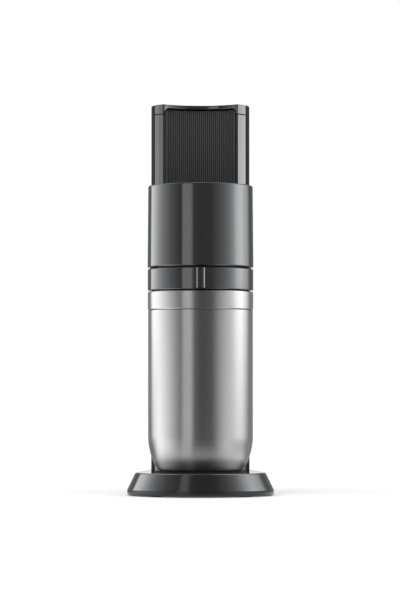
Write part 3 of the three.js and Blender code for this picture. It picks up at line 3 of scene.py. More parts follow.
import bmesh
import bpy
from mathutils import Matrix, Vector


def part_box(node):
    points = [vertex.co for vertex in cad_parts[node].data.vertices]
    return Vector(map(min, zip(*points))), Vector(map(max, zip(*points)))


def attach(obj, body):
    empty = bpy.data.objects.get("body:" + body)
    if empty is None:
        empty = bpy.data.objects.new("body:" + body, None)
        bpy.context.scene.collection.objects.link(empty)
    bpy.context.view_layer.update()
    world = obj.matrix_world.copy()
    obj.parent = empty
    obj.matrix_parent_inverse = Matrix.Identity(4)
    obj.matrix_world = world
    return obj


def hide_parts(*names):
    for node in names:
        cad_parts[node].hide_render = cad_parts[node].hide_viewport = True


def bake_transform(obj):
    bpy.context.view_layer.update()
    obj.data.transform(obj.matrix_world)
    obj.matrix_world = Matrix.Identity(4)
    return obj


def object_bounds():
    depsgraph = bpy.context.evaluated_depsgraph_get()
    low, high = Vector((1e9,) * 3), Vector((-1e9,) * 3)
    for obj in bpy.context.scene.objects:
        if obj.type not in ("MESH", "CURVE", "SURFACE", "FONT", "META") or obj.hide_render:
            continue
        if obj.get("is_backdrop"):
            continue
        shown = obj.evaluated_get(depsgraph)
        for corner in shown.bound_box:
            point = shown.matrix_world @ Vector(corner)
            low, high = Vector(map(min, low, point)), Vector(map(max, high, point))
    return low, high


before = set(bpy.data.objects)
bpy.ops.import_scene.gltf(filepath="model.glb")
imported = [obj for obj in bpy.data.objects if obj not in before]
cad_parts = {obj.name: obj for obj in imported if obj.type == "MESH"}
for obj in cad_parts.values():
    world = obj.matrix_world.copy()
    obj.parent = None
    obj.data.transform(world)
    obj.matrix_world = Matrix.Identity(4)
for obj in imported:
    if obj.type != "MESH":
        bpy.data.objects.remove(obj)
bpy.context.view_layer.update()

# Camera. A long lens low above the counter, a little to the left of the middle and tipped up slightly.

MM = 0.001
PHOTO_WIDTH, PHOTO_HEIGHT = 400, 600
FOCAL_PX = 2616.5
HORIZON_PX = 400.0
AXIS_PX = 200.5
CAMERA_HEIGHT = 106.2 * MM
CAMERA_DISTANCE = 2925 * MM
CAMERA_AZIMUTH = math.radians(-0.15)
SENSOR_HEIGHT = 36.0
FAR_LIMIT = 50


def middle(node):
    """The middle of a CAD node's box."""
    low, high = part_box(node)
    return (low + high) / 2


def placed(name, data):
    """Puts a mesh, camera or lamp in the scene as a named object."""
    made = bpy.data.objects.new(name, data)
    bpy.context.scene.collection.objects.link(made)
    return made


bottle_y = middle("vessel_shell").y
gas_y = middle("gas_cylinder").y

camera_data = bpy.data.cameras.new("photo_camera")
camera_data.sensor_fit = "VERTICAL"
camera_data.sensor_height = SENSOR_HEIGHT
camera_data.lens = FOCAL_PX * SENSOR_HEIGHT / PHOTO_HEIGHT
camera_data.clip_end = FAR_LIMIT
camera = placed("photo_camera", camera_data)
aside = CAMERA_DISTANCE * math.sin(CAMERA_AZIMUTH)
camera.location = (aside, bottle_y - CAMERA_DISTANCE * math.cos(CAMERA_AZIMUTH), CAMERA_HEIGHT)
pitch = math.atan((HORIZON_PX - PHOTO_HEIGHT / 2) / FOCAL_PX)
yaw = CAMERA_AZIMUTH + (AXIS_PX - PHOTO_WIDTH / 2) / FOCAL_PX
camera.rotation_euler = (math.pi / 2 + pitch, 0, yaw)
bpy.context.scene.camera = camera

# Base shell. One moulding in black gloss plastic: a low upright skirt, a sloping side and a rim round the
# drip plate. It is screwed to the base plate from below. The skirt is duller, and its colour is painted
# darker as shade near the floor.

BASE_STEPS = 72
SKIRT_BOTTOM = 1.2 * MM
SKIRT_TOP = 6.8 * MM
SKIRT_FOOT_R = 0.8 * MM
BASE_INSET = 8.6 * MM
BASE_WALL = 2.5 * MM
BASE_CEILING = 18.5 * MM
BASE_LIP = 1.1 * MM
BASE_MARGIN = 0.2 * MM
DOUBLES = 1e-7
BROAD_FACES = 80
# the gap round a piece that is let into another, and the width of a small broken edge
SEAT = 0.3 * MM


def arc(cx, cy, r, start, end, steps):
    """Points round part of a circle, in degrees, both ends counted."""
    turn = (end - start) / steps
    angles = [math.radians(start + turn * i) for i in range(steps + 1)]
    return [(cx + r * math.cos(a), cy + r * math.sin(a)) for a in angles]


def oval(front_r, rear_r, steps=BASE_STEPS):
    """Plan of the base: a large round front and a smaller round back, joined by straight sides."""
    lean = math.degrees(math.asin((front_r - rear_r) / (gas_y - bottle_y)))
    front = arc(0, bottle_y, front_r, 180 - lean, 360 + lean, steps)
    return front + arc(0, gas_y, rear_r, lean, 180 - lean, steps)


def baked(piece):
    """Turns a piece with its modifiers into a plain mesh."""
    shown = piece.evaluated_get(bpy.context.evaluated_depsgraph_get())
    mesh = bpy.data.meshes.new_from_object(shown)
    piece.modifiers.clear()
    piece.data = mesh
    return piece


def shaded(piece, smooth_angle=35):
    """Smooth but for edges sharper than the angle, with the broad faces kept even up to their edges."""
    piece.data.shade_smooth()
    piece.data.set_sharp_from_angle(angle=math.radians(smooth_angle))
    evening = piece.modifiers.new("evening", "WEIGHTED_NORMAL")
    evening.keep_sharp = True
    evening.weight = BROAD_FACES
    return baked(piece)


def bm_piece(name, bm):
    """Makes a named object of a bmesh as it is."""
    mesh = bpy.data.meshes.new(name)
    bm.to_mesh(mesh)
    bm.free()
    return placed(name, mesh)


def finish_mesh(name, bm, smooth_angle=35):
    """Makes a named object of a bmesh, with its faces outwards and its broad faces smooth."""
    bmesh.ops.remove_doubles(bm, verts=bm.verts, dist=DOUBLES)
    bmesh.ops.recalc_face_normals(bm, faces=bm.faces)
    return shaded(bm_piece(name, bm), smooth_angle)


def skin_into(bm, rings, cap_first=True, cap_last=True):
    """Joins rings of [x, y, z] points, one after the other, and closes the ends."""
    rows = [[bm.verts.new(p) for p in ring] for ring in rings]
    count = len(rows[0])
    for low, high in zip(rows, rows[1:]):
        for i in range(count):
            j = (i + 1) % count
            bm.faces.new((low[i], low[j], high[j], high[i]))
    if cap_first:
        bm.faces.new(list(reversed(rows[0])))
    if cap_last:
        bm.faces.new(rows[-1])


def level(points, z):
    """Plan points at a height."""
    return [(x, y, z) for x, y in points]


def rolled_foot(inset, z, r, steps=5):
    """(inset, z) pairs round the small radius that leads up from a foot into a side."""
    turns = [math.radians(90 * i / steps) for i in range(steps + 1)]
    return [(inset + r - r * math.sin(a), z + r - r * math.cos(a)) for a in turns]


base_low, base_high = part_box("base_shell")
base_front_r = bottle_y - base_low.y - BASE_MARGIN
base_rear_r = base_high.y - gas_y
base_top = base_high.z
drip_low, drip_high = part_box("drip_plate")
drip_front_r = bottle_y - drip_low.y
drip_rear_r = drip_high.y - gas_y


def base_ring(inset, z):
    """The base's plan at a height, taken in from its widest."""
    return level(oval(base_front_r - inset, base_rear_r - inset), z)


def recess_ring(gap, z):
    """The plan of the drip plate's seat at a height, with a gap round the plate."""
    return level(oval(drip_front_r + gap, drip_rear_r + gap), z)


# up the skirt, over its line, up the sloping side and over the rim
base_profile = rolled_foot(0, SKIRT_BOTTOM, SKIRT_FOOT_R) + [
    (0, SKIRT_TOP - 0.5 * MM), (0.12 * MM, SKIRT_TOP), (0.4 * MM, SKIRT_TOP + 0.7 * MM),
    (BASE_INSET - 0.35 * MM, base_top - 1.6 * MM), (BASE_INSET, base_top - 0.9 * MM),
    (BASE_INSET + 0.5 * MM, base_top - 0.25 * MM), (BASE_INSET + BASE_LIP, base_top),
]
outside = [base_ring(inset, z) for inset, z in base_profile]
recess = [recess_ring(2 * SEAT, base_top), recess_ring(SEAT, base_top - SEAT)]
recess.append(recess_ring(SEAT, drip_low.z - SEAT))
under = [base_ring(BASE_WALL + BASE_INSET, BASE_CEILING), base_ring(BASE_WALL, SKIRT_TOP)]
under += [base_ring(BASE_WALL, SKIRT_BOTTOM), outside[0]]
bm = bmesh.new()
skin_into(bm, outside + recess, cap_first=False)
skin_into(bm, under, cap_last=False)
base_shell = finish_mesh("base_shell_moulding", bm)


def add_node(tree, kind, *inputs, **settings):
    """Adds a node with its settings. Inputs are pairs of a socket or value and the input's name or number."""
    node = tree.nodes.new(kind)
    for title, value in settings.items():
        setattr(node, title, value)
    for value, target in inputs:
        if isinstance(value, bpy.types.NodeSocket):
            tree.links.new(value, node.inputs[target])
        else:
            node.inputs[target].default_value = value
    return node


def material(name, **values):
    """A new material, its Principled shader with plain values set, and the coordinates that patterns read."""
    made = bpy.data.materials.new(name)
    made.use_nodes = True
    shader = made.node_tree.nodes["Principled BSDF"]
    for title, value in values.items():
        shader.inputs[title.replace("_", " ")].default_value = value
    return made, shader, add_node(made.node_tree, "ShaderNodeTexCoord").outputs["Object"]


def add_group(made, group, vector, shader=None, **values):
    """Places a shader group with its inputs, and leads its colour and roughness to the shader."""
    tree = made.node_tree
    inputs = zip(values.values(), values)
    node = add_node(tree, "ShaderNodeGroup", (vector, "Vector"), *inputs, node_tree=group)
    if shader:
        tree.links.new(node.outputs["Colour"], shader.inputs["Base Color"])
        tree.links.new(node.outputs["Roughness"], shader.inputs["Roughness"])
    return node


def lead(group, made, **results):
    """Wires a group's results to its outputs."""
    for title, socket in results.items():
        group.links.new(socket, made[title])


def new_group(name, inputs, outputs, kind="ShaderNodeTree"):
    """An empty node group. Inputs are (name, socket kind, value) and outputs are (name, socket kind)."""
    group = bpy.data.node_groups.new(name, kind)
    for title, socket_kind, value in inputs:
        socket = group.interface.new_socket(title, in_out="INPUT", socket_type="NodeSocket" + socket_kind)
        if value is not None:
            socket.default_value = value
    for title, socket_kind in outputs:
        group.interface.new_socket(title, in_out="OUTPUT", socket_type="NodeSocket" + socket_kind)
    return group, group.nodes.new("NodeGroupInput").outputs, group.nodes.new("NodeGroupOutput").inputs


def maths(tree, operation, first, second, clamp=False):
    """A Math node whose inputs are sockets or numbers. Gives its output."""
    node = add_node(tree, "ShaderNodeMath", (first, 0), (second, 1), operation=operation, use_clamp=clamp)
    return node.outputs[0]


def times(tree, first, second):
    """A product."""
    return maths(tree, "MULTIPLY", first, second)


def plus(tree, first, second):
    """A sum."""
    return maths(tree, "ADD", first, second)


def noise(tree, vector, scale, detail=3.0, roughness=0.5):
    """A noise pattern. A scale of three numbers stretches it along the axes."""
    if isinstance(scale, tuple):
        pulled = add_node(tree, "ShaderNodeVectorMath", (vector, 0), (scale, 1), operation="MULTIPLY")
        vector, scale = pulled.outputs[0], 1.0
    inputs = ((vector, "Vector"), (scale, "Scale"), (detail, "Detail"), (roughness, "Roughness"))
    return add_node(tree, "ShaderNodeTexNoise", *inputs).outputs["Fac"]


def mixed(tree, share, first, second, blend="MIX"):
    """Two colours mixed by a share."""
    inputs = ((share, 0), (first, 6), (second, 7))
    return add_node(tree, "ShaderNodeMix", *inputs, data_type="RGBA", blend_type=blend).outputs[2]


# handling marks, shared by all finishes but the brushed steel: faint hairlines, smears and a little dust
HAIR_CUT = 0.74
SPECK_CUT = 0.73
DUST_COLOUR = (0.42, 0.41, 0.4, 1)
handling, given, made = new_group(
    "handling_marks",
    [("Vector", "Vector", None), ("Colour", "Color", (0.1, 0.1, 0.1, 1)), ("Roughness", "Float", 0.2),
     ("Smears", "Float", 0.06), ("Hairlines", "Float", 0.05), ("Dust", "Float", 0.03)],
    [("Colour", "Color"), ("Roughness", "Float"), ("Height", "Float")],
)
place = given["Vector"]
cloud = noise(handling, place, 26.0, 4.0, 0.55)
lines_a = noise(handling, place, (900, 40, 60), 2.0)
lines_b = noise(handling, place, (70, 800, 34), 2.0)
hair = maths(handling, "GREATER_THAN", maths(handling, "MAXIMUM", lines_a, lines_b), HAIR_CUT)
specks = maths(handling, "GREATER_THAN", noise(handling, place, 1500.0, 1.0), SPECK_CUT)
dust = times(handling, specks, given["Dust"])
smeared = plus(handling, given["Roughness"], times(handling, plus(handling, cloud, -0.5), given["Smears"]))
scratched = plus(handling, smeared, times(handling, hair, given["Hairlines"]))
lead(
    handling, made, Colour=mixed(handling, dust, given["Colour"], DUST_COLOUR),
    Roughness=maths(handling, "ADD", scratched, dust, clamp=True),
    Height=plus(handling, times(handling, cloud, 0.35), times(handling, hair, -0.3)),
)


def add_bump(made, height, shader, distance):
    """Turns a height into the shader's normal. Distance is the real depth in metres."""
    inputs = ((height, "Height"), (1.0, "Strength"), (distance, "Distance"))
    node = add_node(made.node_tree, "ShaderNodeBump", *inputs)
    made.node_tree.links.new(node.outputs["Normal"], shader.inputs["Normal"])


def smooth_finish(name, colour, roughness, metallic=0.0, **marks):
    """A material with handling marks, for moulded, painted or polished surfaces."""
    made, shader, place = material(name, Metallic=metallic)
    worn = add_group(made, handling, place, shader, Colour=(*colour, 1), Roughness=roughness, **marks)
    add_bump(made, worn.outputs["Height"], shader, 0.02 * MM)
    return made


def dress(piece, finish, slot, body, *nodes):
    """Gives a finished piece its material and its body, and hides the CAD nodes it stands for. The slot is
    not used.
    """
    piece.data.materials.clear()
    piece.data.materials.append(finish)
    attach(piece, body)
    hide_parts(*nodes)
    return piece


def paint_shade_on_faces(piece, finish, chosen):
    """Gives the faces that a test of their centre and normal picks another material, used here for painted
    shade.
    """
    piece.data.materials.append(finish)
    last = len(piece.data.materials) - 1
    for face in piece.data.polygons:
        if chosen(face.center, face.normal):
            face.material_index = last


gloss_black = smooth_finish("gloss_black", (0.155, 0.156, 0.16), 0.12, metallic=0.95)
skirt_shade_black = smooth_finish("skirt_shade_black", (0.058, 0.058, 0.06), 0.2, metallic=0.85)
dress(base_shell, gloss_black, "gloss_black", "stand", "base_shell")
# the skirt's faces get a darker colour: painted shade near the floor
paint_shade_on_faces(base_shell, skirt_shade_black, lambda centre, normal: centre.z < SKIRT_TOP + BASE_MARGIN)

# Base plate and feet. A flat plastic plate closes the hollow of the base from below. Four rubber feet with
# a rounded rim are let into it.

moulded, given, made = new_group(
    "moulded_grain",
    [("Vector", "Vector", None), ("Grain", "Float", 1.0)],
    [("Height", "Float"), ("Shade", "Float")],
)
fine = noise(moulded, given["Vector"], 2600.0, 2.0, 0.6)
coarse = noise(moulded, given["Vector"], 420.0)
grain_height = plus(moulded, fine, times(moulded, coarse, 0.5))
lead(
    moulded, made, Height=times(moulded, grain_height, given["Grain"]),
    Shade=plus(moulded, 0.94, times(moulded, coarse, 0.12)),
)


def grained_finish(name, colour, roughness, grain=1.0, depth=0.02 * MM, metallic=0.0, **marks):
    """A moulded or cast surface with a fine grain under the handling marks."""
    made, shader, place = material(name, Metallic=metallic)
    grained = add_group(made, moulded, place, Grain=grain)
    shade = mixed(made.node_tree, 1.0, (*colour, 1), grained.outputs["Shade"], "MULTIPLY")
    add_group(made, handling, place, shader, Colour=shade, Roughness=roughness, **marks)
    add_bump(made, grained.outputs["Height"], shader, depth)
    return made


def repaint(finish, *nodes):
    """Gives CAD nodes whose shape is right their finish."""
    for name in nodes:
        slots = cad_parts[name].data.materials
        slots.clear()
        slots.append(finish)


satin_black = grained_finish("satin_black", (0.028, 0.028, 0.03), 0.42)
rubber = grained_finish("rubber", (0.022, 0.022, 0.023), 0.78, grain=1.5, Dust=0.12)
repaint(satin_black, "base_plate")


def softened(corners, steps=4):
    """A closed outline of (x, y, r) corners, each rounded by its own radius."""
    points = []
    for i, (x, y, r) in enumerate(corners):
        here = Vector((x, y))
        if r <= 0:
            points.append((x, y))
            continue
        to_last = (Vector(corners[i - 1][:2]) - here).normalized()
        to_next = (Vector(corners[(i + 1) % len(corners)][:2]) - here).normalized()
        half = to_last.angle(to_next) / 2
        centre = here + (to_last + to_next).normalized() * (r / math.sin(half))
        first = here + to_last * (r / math.tan(half)) - centre
        turn = (here + to_next * (r / math.tan(half)) - centre).angle_signed(first)
        begin = math.atan2(first.y, first.x)
        for k in range(steps + 1):
            a = begin + turn * k / steps
            points.append((centre.x + r * math.cos(a), centre.y + r * math.sin(a)))
    return points


def spun(name, profile, x, y, steps=96, smooth_angle=35):
    """Turns an (r, z) profile about a vertical axis. One that doesn't start on the axis is a ring."""
    bm = bmesh.new()
    rows = []
    for r, z in profile:
        round_points = [(x, y)] if r < DOUBLES else arc(x, y, r, 0, 360, steps)[:-1]
        rows.append([bm.verts.new(p) for p in level(round_points, z)])
    pairs = list(zip(rows, rows[1:]))
    if len(rows[0]) > 1:
        pairs.append((rows[-1], rows[0]))
    for low, high in pairs:
        for i in range(steps):
            j = (i + 1) % steps
            if len(low) == 1:
                bm.faces.new((low[0], high[j], high[i]))
            elif len(high) == 1:
                bm.faces.new((low[i], low[j], high[0]))
            else:
                bm.faces.new((low[i], low[j], high[j], high[i]))
    return finish_mesh(name, bm, smooth_angle)


FOOT_RIM = 1.9 * MM
FOOT_STEM_R = 3 * MM
for foot in ("foot_front_left", "foot_front_right", "foot_rear_left", "foot_rear_right"):
    low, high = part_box(foot)
    centre = middle(foot)
    foot_r = (high.x - low.x) / 2
    rim_z = low.z + FOOT_RIM
    profile = softened([
        (0, low.z, 0), (foot_r - 0.5 * MM, low.z, 0.6 * MM), (foot_r, rim_z, 0.4 * MM),
        (FOOT_STEM_R, rim_z, 0), (FOOT_STEM_R, high.z, 0.3 * MM), (0, high.z, 0),
    ])
    dress(spun(foot + "_pad", profile, centre.x, centre.y, 48), rubber, "rubber", "stand", foot)

# Screws. Zinc-plated pan heads with a cross recess: three hold the base plate to the moulding, and two
# hold the valve block to its shelf.

SCREW_HEAD_R = 3.2 * MM
SCREW_SHANK_R = 1.5 * MM
SCREW_UNDERSIDE = -1.2 * MM
CROSS_LENGTH = 3.0 * MM
CROSS_WIDTH = 0.55 * MM
CROSS_DEPTH = 0.8 * MM
HEAD_UP = (0, 0, 0.4)
HEAD_DOWN = (math.pi, 0, 0.7)


def block_piece(name, x0, x1, y0, y1, z0, z1, edge=0.0):
    """A block with rounded edges."""
    bm = bmesh.new()
    bmesh.ops.create_cube(bm, size=1)
    bmesh.ops.scale(bm, verts=bm.verts, vec=(x1 - x0, y1 - y0, z1 - z0))
    bmesh.ops.translate(bm, verts=bm.verts, vec=((x0 + x1) / 2, (y0 + y1) / 2, (z0 + z1) / 2))
    if edge:
        bmesh.ops.bevel(bm, geom=bm.edges, offset=edge, segments=3, profile=0.5, affect="EDGES")
    return finish_mesh(name, bm)


def carve(piece, *cutters, operation="DIFFERENCE"):
    """Cuts solids out of a piece, or joins them to it, and removes them."""
    for cutter in cutters:
        cut = piece.modifiers.new("cut", "BOOLEAN")
        cut.operation = operation
        cut.solver = "EXACT"
        cut.object = cutter
        baked(piece)
        bpy.data.objects.remove(cutter)
    return piece


def screw_template():
    """One screw with its head up and the top of its head at the origin."""
    screw = spun("screw_template", softened([
        (0, 0, 0), (2.2 * MM, -0.1 * MM, 0), (SCREW_HEAD_R, -0.5 * MM, 0.4 * MM),
        (SCREW_HEAD_R, SCREW_UNDERSIDE, 0), (SCREW_SHANK_R, SCREW_UNDERSIDE, 0),
        (SCREW_SHANK_R, -9.5 * MM, 0), (0, -10.2 * MM, 0),
    ]), 0, 0, 24)
    for x, y in ((CROSS_WIDTH / 2, CROSS_LENGTH / 2), (CROSS_LENGTH / 2, CROSS_WIDTH / 2)):
        carve(screw, block_piece("screw_cross", -x, x, -y, y, -CROSS_DEPTH, CROSS_DEPTH))
    return shaded(screw)


def new_tree(name, *inputs):
    """An empty Geometry Nodes tree with named inputs, a finish among them."""
    geometry = ("Geometry", "Geometry")
    inputs = [(*geometry, None), *inputs, ("Finish", "Material", None)]
    return new_group(name, inputs, [geometry], "GeometryNodeTree")


def end_tree(tree, given, made, grown):
    """Ends a tree with real meshes and their finish."""
    real = add_node(tree, "GeometryNodeRealizeInstances", (grown, 0))
    painted = add_node(tree, "GeometryNodeSetMaterial", (real.outputs[0], 0), (given["Finish"], "Material"))
    tree.links.new(painted.outputs[0], made[0])


def grow(piece, tree, **inputs):
    """Runs a Geometry Nodes tree on a piece and makes it a plain mesh."""
    growth = piece.modifiers.new("growth", "NODES")
    growth.node_group = tree
    sockets = {item.name: item.identifier for item in tree.interface.items_tree if item.in_out == "INPUT"}
    for title, value in inputs.items():
        growth[sockets[title.replace("_", " ")]] = value
    return shaded(baked(piece))


screws_tree, given, made = new_tree("screws", ("Screw", "Object", None), ("Tilt", "Vector", (0, 0, 0)))
template = add_node(screws_tree, "GeometryNodeObjectInfo", (given["Screw"], "Object")).outputs["Geometry"]
driven = add_node(
    screws_tree, "GeometryNodeInstanceOnPoints",
    (given["Geometry"], "Points"), (template, "Instance"), (given["Tilt"], "Rotation"),
)
end_tree(screws_tree, given, made, driven.outputs[0])
zinc = grained_finish("zinc_plate", (0.5, 0.505, 0.51), 0.3, grain=0.5, depth=0.01 * MM, metallic=1.0)
screw = screw_template()


def screw_set(name, tilt, *nodes):
    """Screws with their heads at the upper or lower ends of the nodes' boxes."""
    ends = []
    for node in nodes:
        low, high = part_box(node)
        centre = middle(node)
        ends.append((centre.x, centre.y, high.z if tilt == HEAD_UP else low.z))
    mesh = bpy.data.meshes.new(name + "_points")
    mesh.from_pydata(ends, [], [])
    screws = grow(placed(name, mesh), screws_tree, Screw=screw, Tilt=tilt, Finish=zinc)
    dress(screws, zinc, "steel_plate", "stand", *nodes)


screw_set("base_screws", HEAD_DOWN, "base_screw_front", "base_screw_left", "base_screw_right")
screw_set("block_screws", HEAD_UP, "block_screw_left", "block_screw_right")
bpy.data.objects.remove(screw)

# Drip plate and mat. A gloss black plate lies flush in the base's rim to catch drops, and a round rubber
# mat with ring grooves lies in it and carries the vessel.

MAT_GROOVES = 7
GROOVE_PITCH = 5.5 * MM
GROOVE_DEPTH = 0.5 * MM
FIRST_GROOVE = 4 * MM
MAT_EDGE = 0.4 * MM
# the least share by which the offset of a sharp corner is divided, so that it doesn't run far out
SHARPEST = 0.4


def skinned(name, rings, smooth_angle=35):
    """A closed solid through rings of points."""
    bm = bmesh.new()
    skin_into(bm, rings)
    return finish_mesh(name, bm, smooth_angle)


def across(behind, ahead):
    """The direction to the left of a corner in a path, and how far it reaches for an offset of 1."""
    n1 = Vector((-behind.y, behind.x)).normalized()
    n2 = Vector((-ahead.y, ahead.x)).normalized()
    n = (n1 + n2).normalized()
    return n / max(n.dot(n1), SHARPEST)


def inset_outline(points, distance):
    """A closed anticlockwise outline taken in by a distance."""
    moved = []
    for i, point in enumerate(points):
        here = Vector(point)
        left = across(here - Vector(points[i - 1]), Vector(points[(i + 1) % len(points)]) - here)
        moved.append(tuple(here + left * distance))
    return moved


def stacked(name, outline, z0, z1, foot=((0, 0),), top=((0, 0),), smooth_angle=35):
    """A solid from one outline, by pairs in mm: (inset, height above z0), then (inset, depth below z1)."""
    rings = [(inset * MM, z0 + rise * MM) for inset, rise in foot]
    rings += [(inset * MM, z1 - drop * MM) for inset, drop in top]
    return skinned(name, [level(inset_outline(outline, inset), z) for inset, z in rings], smooth_angle)


mat_low, mat_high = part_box("vessel_mat")
mat_r = (mat_high.x - mat_low.x) / 2
drip_plate = stacked(
    "drip_tray", oval(drip_front_r, drip_rear_r), drip_low.z, drip_high.z,
    [(0.4, 0), (0, 0.4)], [(0, 0.5), (0.15, 0.15), (0.5, 0)],
)
well = [
    (0, mat_low.z - SEAT), (mat_r + SEAT, mat_low.z - SEAT), (mat_r + SEAT, drip_high.z - SEAT),
    (mat_r + 3 * SEAT, drip_high.z + SEAT), (0, drip_high.z + SEAT),
]
carve(drip_plate, spun("mat_well", well, 0, bottle_y))
dress(shaded(drip_plate), gloss_black, "satin_black", "stand", "drip_plate")

mat_top = mat_high.z
mat_profile = [(0, mat_low.z), (mat_r, mat_low.z), (mat_r, mat_top - MAT_EDGE), (mat_r - MAT_EDGE, mat_top)]
for i in range(MAT_GROOVES):
    r = mat_r - FIRST_GROOVE - GROOVE_PITCH * i
    mat_profile += [(r, mat_top), (r - GROOVE_DEPTH, mat_top - GROOVE_DEPTH), (r - 2 * GROOVE_DEPTH, mat_top)]
mat_profile.append((0, mat_top))
dress(spun("ridged_mat", mat_profile, 0, bottle_y), rubber, "rubber", "stand", "vessel_mat")

# Chassis. A pressed steel channel stands behind the vessel, with two ground steel guide rods in front of it
# and a bent shelf near its top for the valve block.

pressed = grained_finish("pressed_steel", (0.44, 0.445, 0.45), 0.38, grain=0.6, metallic=1.0, Smears=0.16)
ground = grained_finish("ground_steel", (0.6, 0.605, 0.61), 0.2, grain=0.3, depth=0.006 * MM, metallic=1.0)
repaint(pressed, "chassis_channel", "valve_bracket")
for rod in ("guide_rod_left", "guide_rod_right"):
    low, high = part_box(rod)
    centre = middle(rod)
    r = (high.y - low.y) / 2
    profile = softened([(0, low.z, 0), (r, low.z, 0.5 * MM), (r, high.z, 0.8 * MM), (0, high.z, 0)])
    dress(spun(rod + "_bar", profile, centre.x, centre.y, 40), ground, "brushed_steel", "stand", rod)

# Side shells. Two mouldings in black gloss plastic make the sides of the column and meet behind it, above
# and below the rear cover. Their front edges stand beside the slots that the head's arms run in.

SHELL_WALL = 2.2 * MM
BACK_STEPS = 56
SPLIT_BACK = 10 * MM
# how near to a wall's face a face's middle lies to count as part of it
NEAR = 0.1 * MM
# the edge rows that are closer together than this are merged before rounding
MERGE = 0.03 * MM
shell_low, shell_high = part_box("side_shell_right")
cover_low, cover_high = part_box("rear_cover")
shell_x = shell_high.x
shell_split = shell_low.x
split_y = cover_low.y + SPLIT_BACK


def walled(name, path, profile, smooth_angle=35):
    """A wall along an open path in plan. Its profile is a closed list of (offset to the left, z)."""
    rings = []
    for i, point in enumerate(path):
        here = Vector(point)
        ahead = (Vector(path[min(i + 1, len(path) - 1)]) - here) or (here - Vector(path[i - 1]))
        behind = (here - Vector(path[max(i - 1, 0)])) or ahead
        left = across(behind, ahead)
        rings.append([(*(here + left * offset), z) for offset, z in profile])
    return skinned(name, rings, smooth_angle)


def wall_section(wall, z0, z1):
    """The square section of a wall, to the left of its path."""
    return [(0, z0), (0, z1), (wall, z1), (wall, z0)]


def edged(piece, width, segments=3, angle=50):
    """Rounds the edges that are sharper than the angle."""
    bm = bmesh.new()
    bm.from_mesh(piece.data)
    bmesh.ops.remove_doubles(bm, verts=bm.verts, dist=MERGE)
    bm.to_mesh(piece.data)
    bm.free()
    bevel = piece.modifiers.new("edges", "BEVEL")
    bevel.width = width
    bevel.segments = segments
    bevel.limit_method = "ANGLE"
    bevel.angle_limit = math.radians(angle)
    bevel.use_clamp_overlap = True
    bevel.miter_outer = "MITER_ARC"
    return shaded(baked(piece))


def mirror_x(piece, name):
    """A mirrored copy, on the other side of the machine."""
    mesh = piece.data.copy()
    mesh.transform(((-1, 0, 0, 0), (0, 1, 0, 0), (0, 0, 1, 0), (0, 0, 0, 1)))
    mesh.flip_normals()
    return shaded(placed(name, mesh))


shell_path = [(shell_x, shell_low.y), (shell_x, gas_y)]
shell_path += [p for p in arc(0, gas_y, shell_x, 0, 90, BACK_STEPS)[1:] if p[0] > shell_split]
shell_path.append((shell_split, gas_y + math.sqrt(shell_x ** 2 - shell_split ** 2)))
shell_profile = softened([
    (0, shell_low.z, 0), (0, shell_high.z, 2 * MM), (SHELL_WALL, shell_high.z, 0),
    (SHELL_WALL, shell_low.z, 0),
])
opening = block_piece(
    "opening", -1 * MM, 80 * MM, split_y - SEAT, 200 * MM, cover_low.z - SEAT, cover_high.z + SEAT
)
side_right = edged(carve(walled("column_side_right", shell_path, shell_profile), opening), 0.9 * MM, 4)
side_left = mirror_x(side_right, "column_side_left")
shell_black = smooth_finish("shell_black", (0.15, 0.151, 0.155), 0.34, metallic=0.82)
# a near-black colour, painted shade for inner walls, the slots beside the horns and the grooves behind the
# ribs
painted_shade_black = grained_finish("painted_shade_black", (0.015, 0.015, 0.016), 0.5, grain=0.6)


def faces_inwards(centre, normal):
    """Whether a face belongs to the inner wall of a side shell."""
    return abs(centre.x) < shell_x - SHELL_WALL + NEAR and normal.x * centre.x < -0.9 * abs(centre.x)


for side, node in ((side_right, "side_shell_right"), (side_left, "side_shell_left")):
    dress(side, shell_black, "gloss_black", "stand", node)
    # the shell's inner wall gets the near-black colour: painted shade inside the column
    paint_shade_on_faces(side, painted_shade_black, faces_inwards)

# Front cover. A black gloss moulding with a hollow front that takes the vessel, and a rounded horn each
# side. Above the hollow it is open between the horns. It carries the lugs for the lever's hinge.

HORN_NOSE_WIDTH = 9.6 * MM
HORN_NOSE_DEPTH = 9.2 * MM
HORN_TOP = 431.5 * MM
WINDOW_SILL = 259 * MM
WINDOW_X = 41 * MM
COVER_WALL = 1.5 * MM
LUG_X = (43.7 * MM, 46.1 * MM)
LUG_Y = (-1.5 * MM, 3.5 * MM)
LUG_TOP = 436.2 * MM
LUG_ROOT = 2 * MM
front_low, front_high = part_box("front_cover")
horn_x = front_high.x - 0.4 * MM
horn_rear_y = front_high.y
cradle_r = math.hypot(WINDOW_X + SEAT, front_low.y - bottle_y)
horn_tip_x = WINDOW_X + 1.7 * MM
nose_y = front_low.y + HORN_NOSE_DEPTH


def cradle_arc(half_x, r, steps):
    """An arc in plan round the vessel's axis, across the hollow front, as far as half_x each side."""
    reach = math.degrees(math.asin(half_x / r))
    return arc(0, bottle_y, r, 90 - reach, 90 + reach, steps)


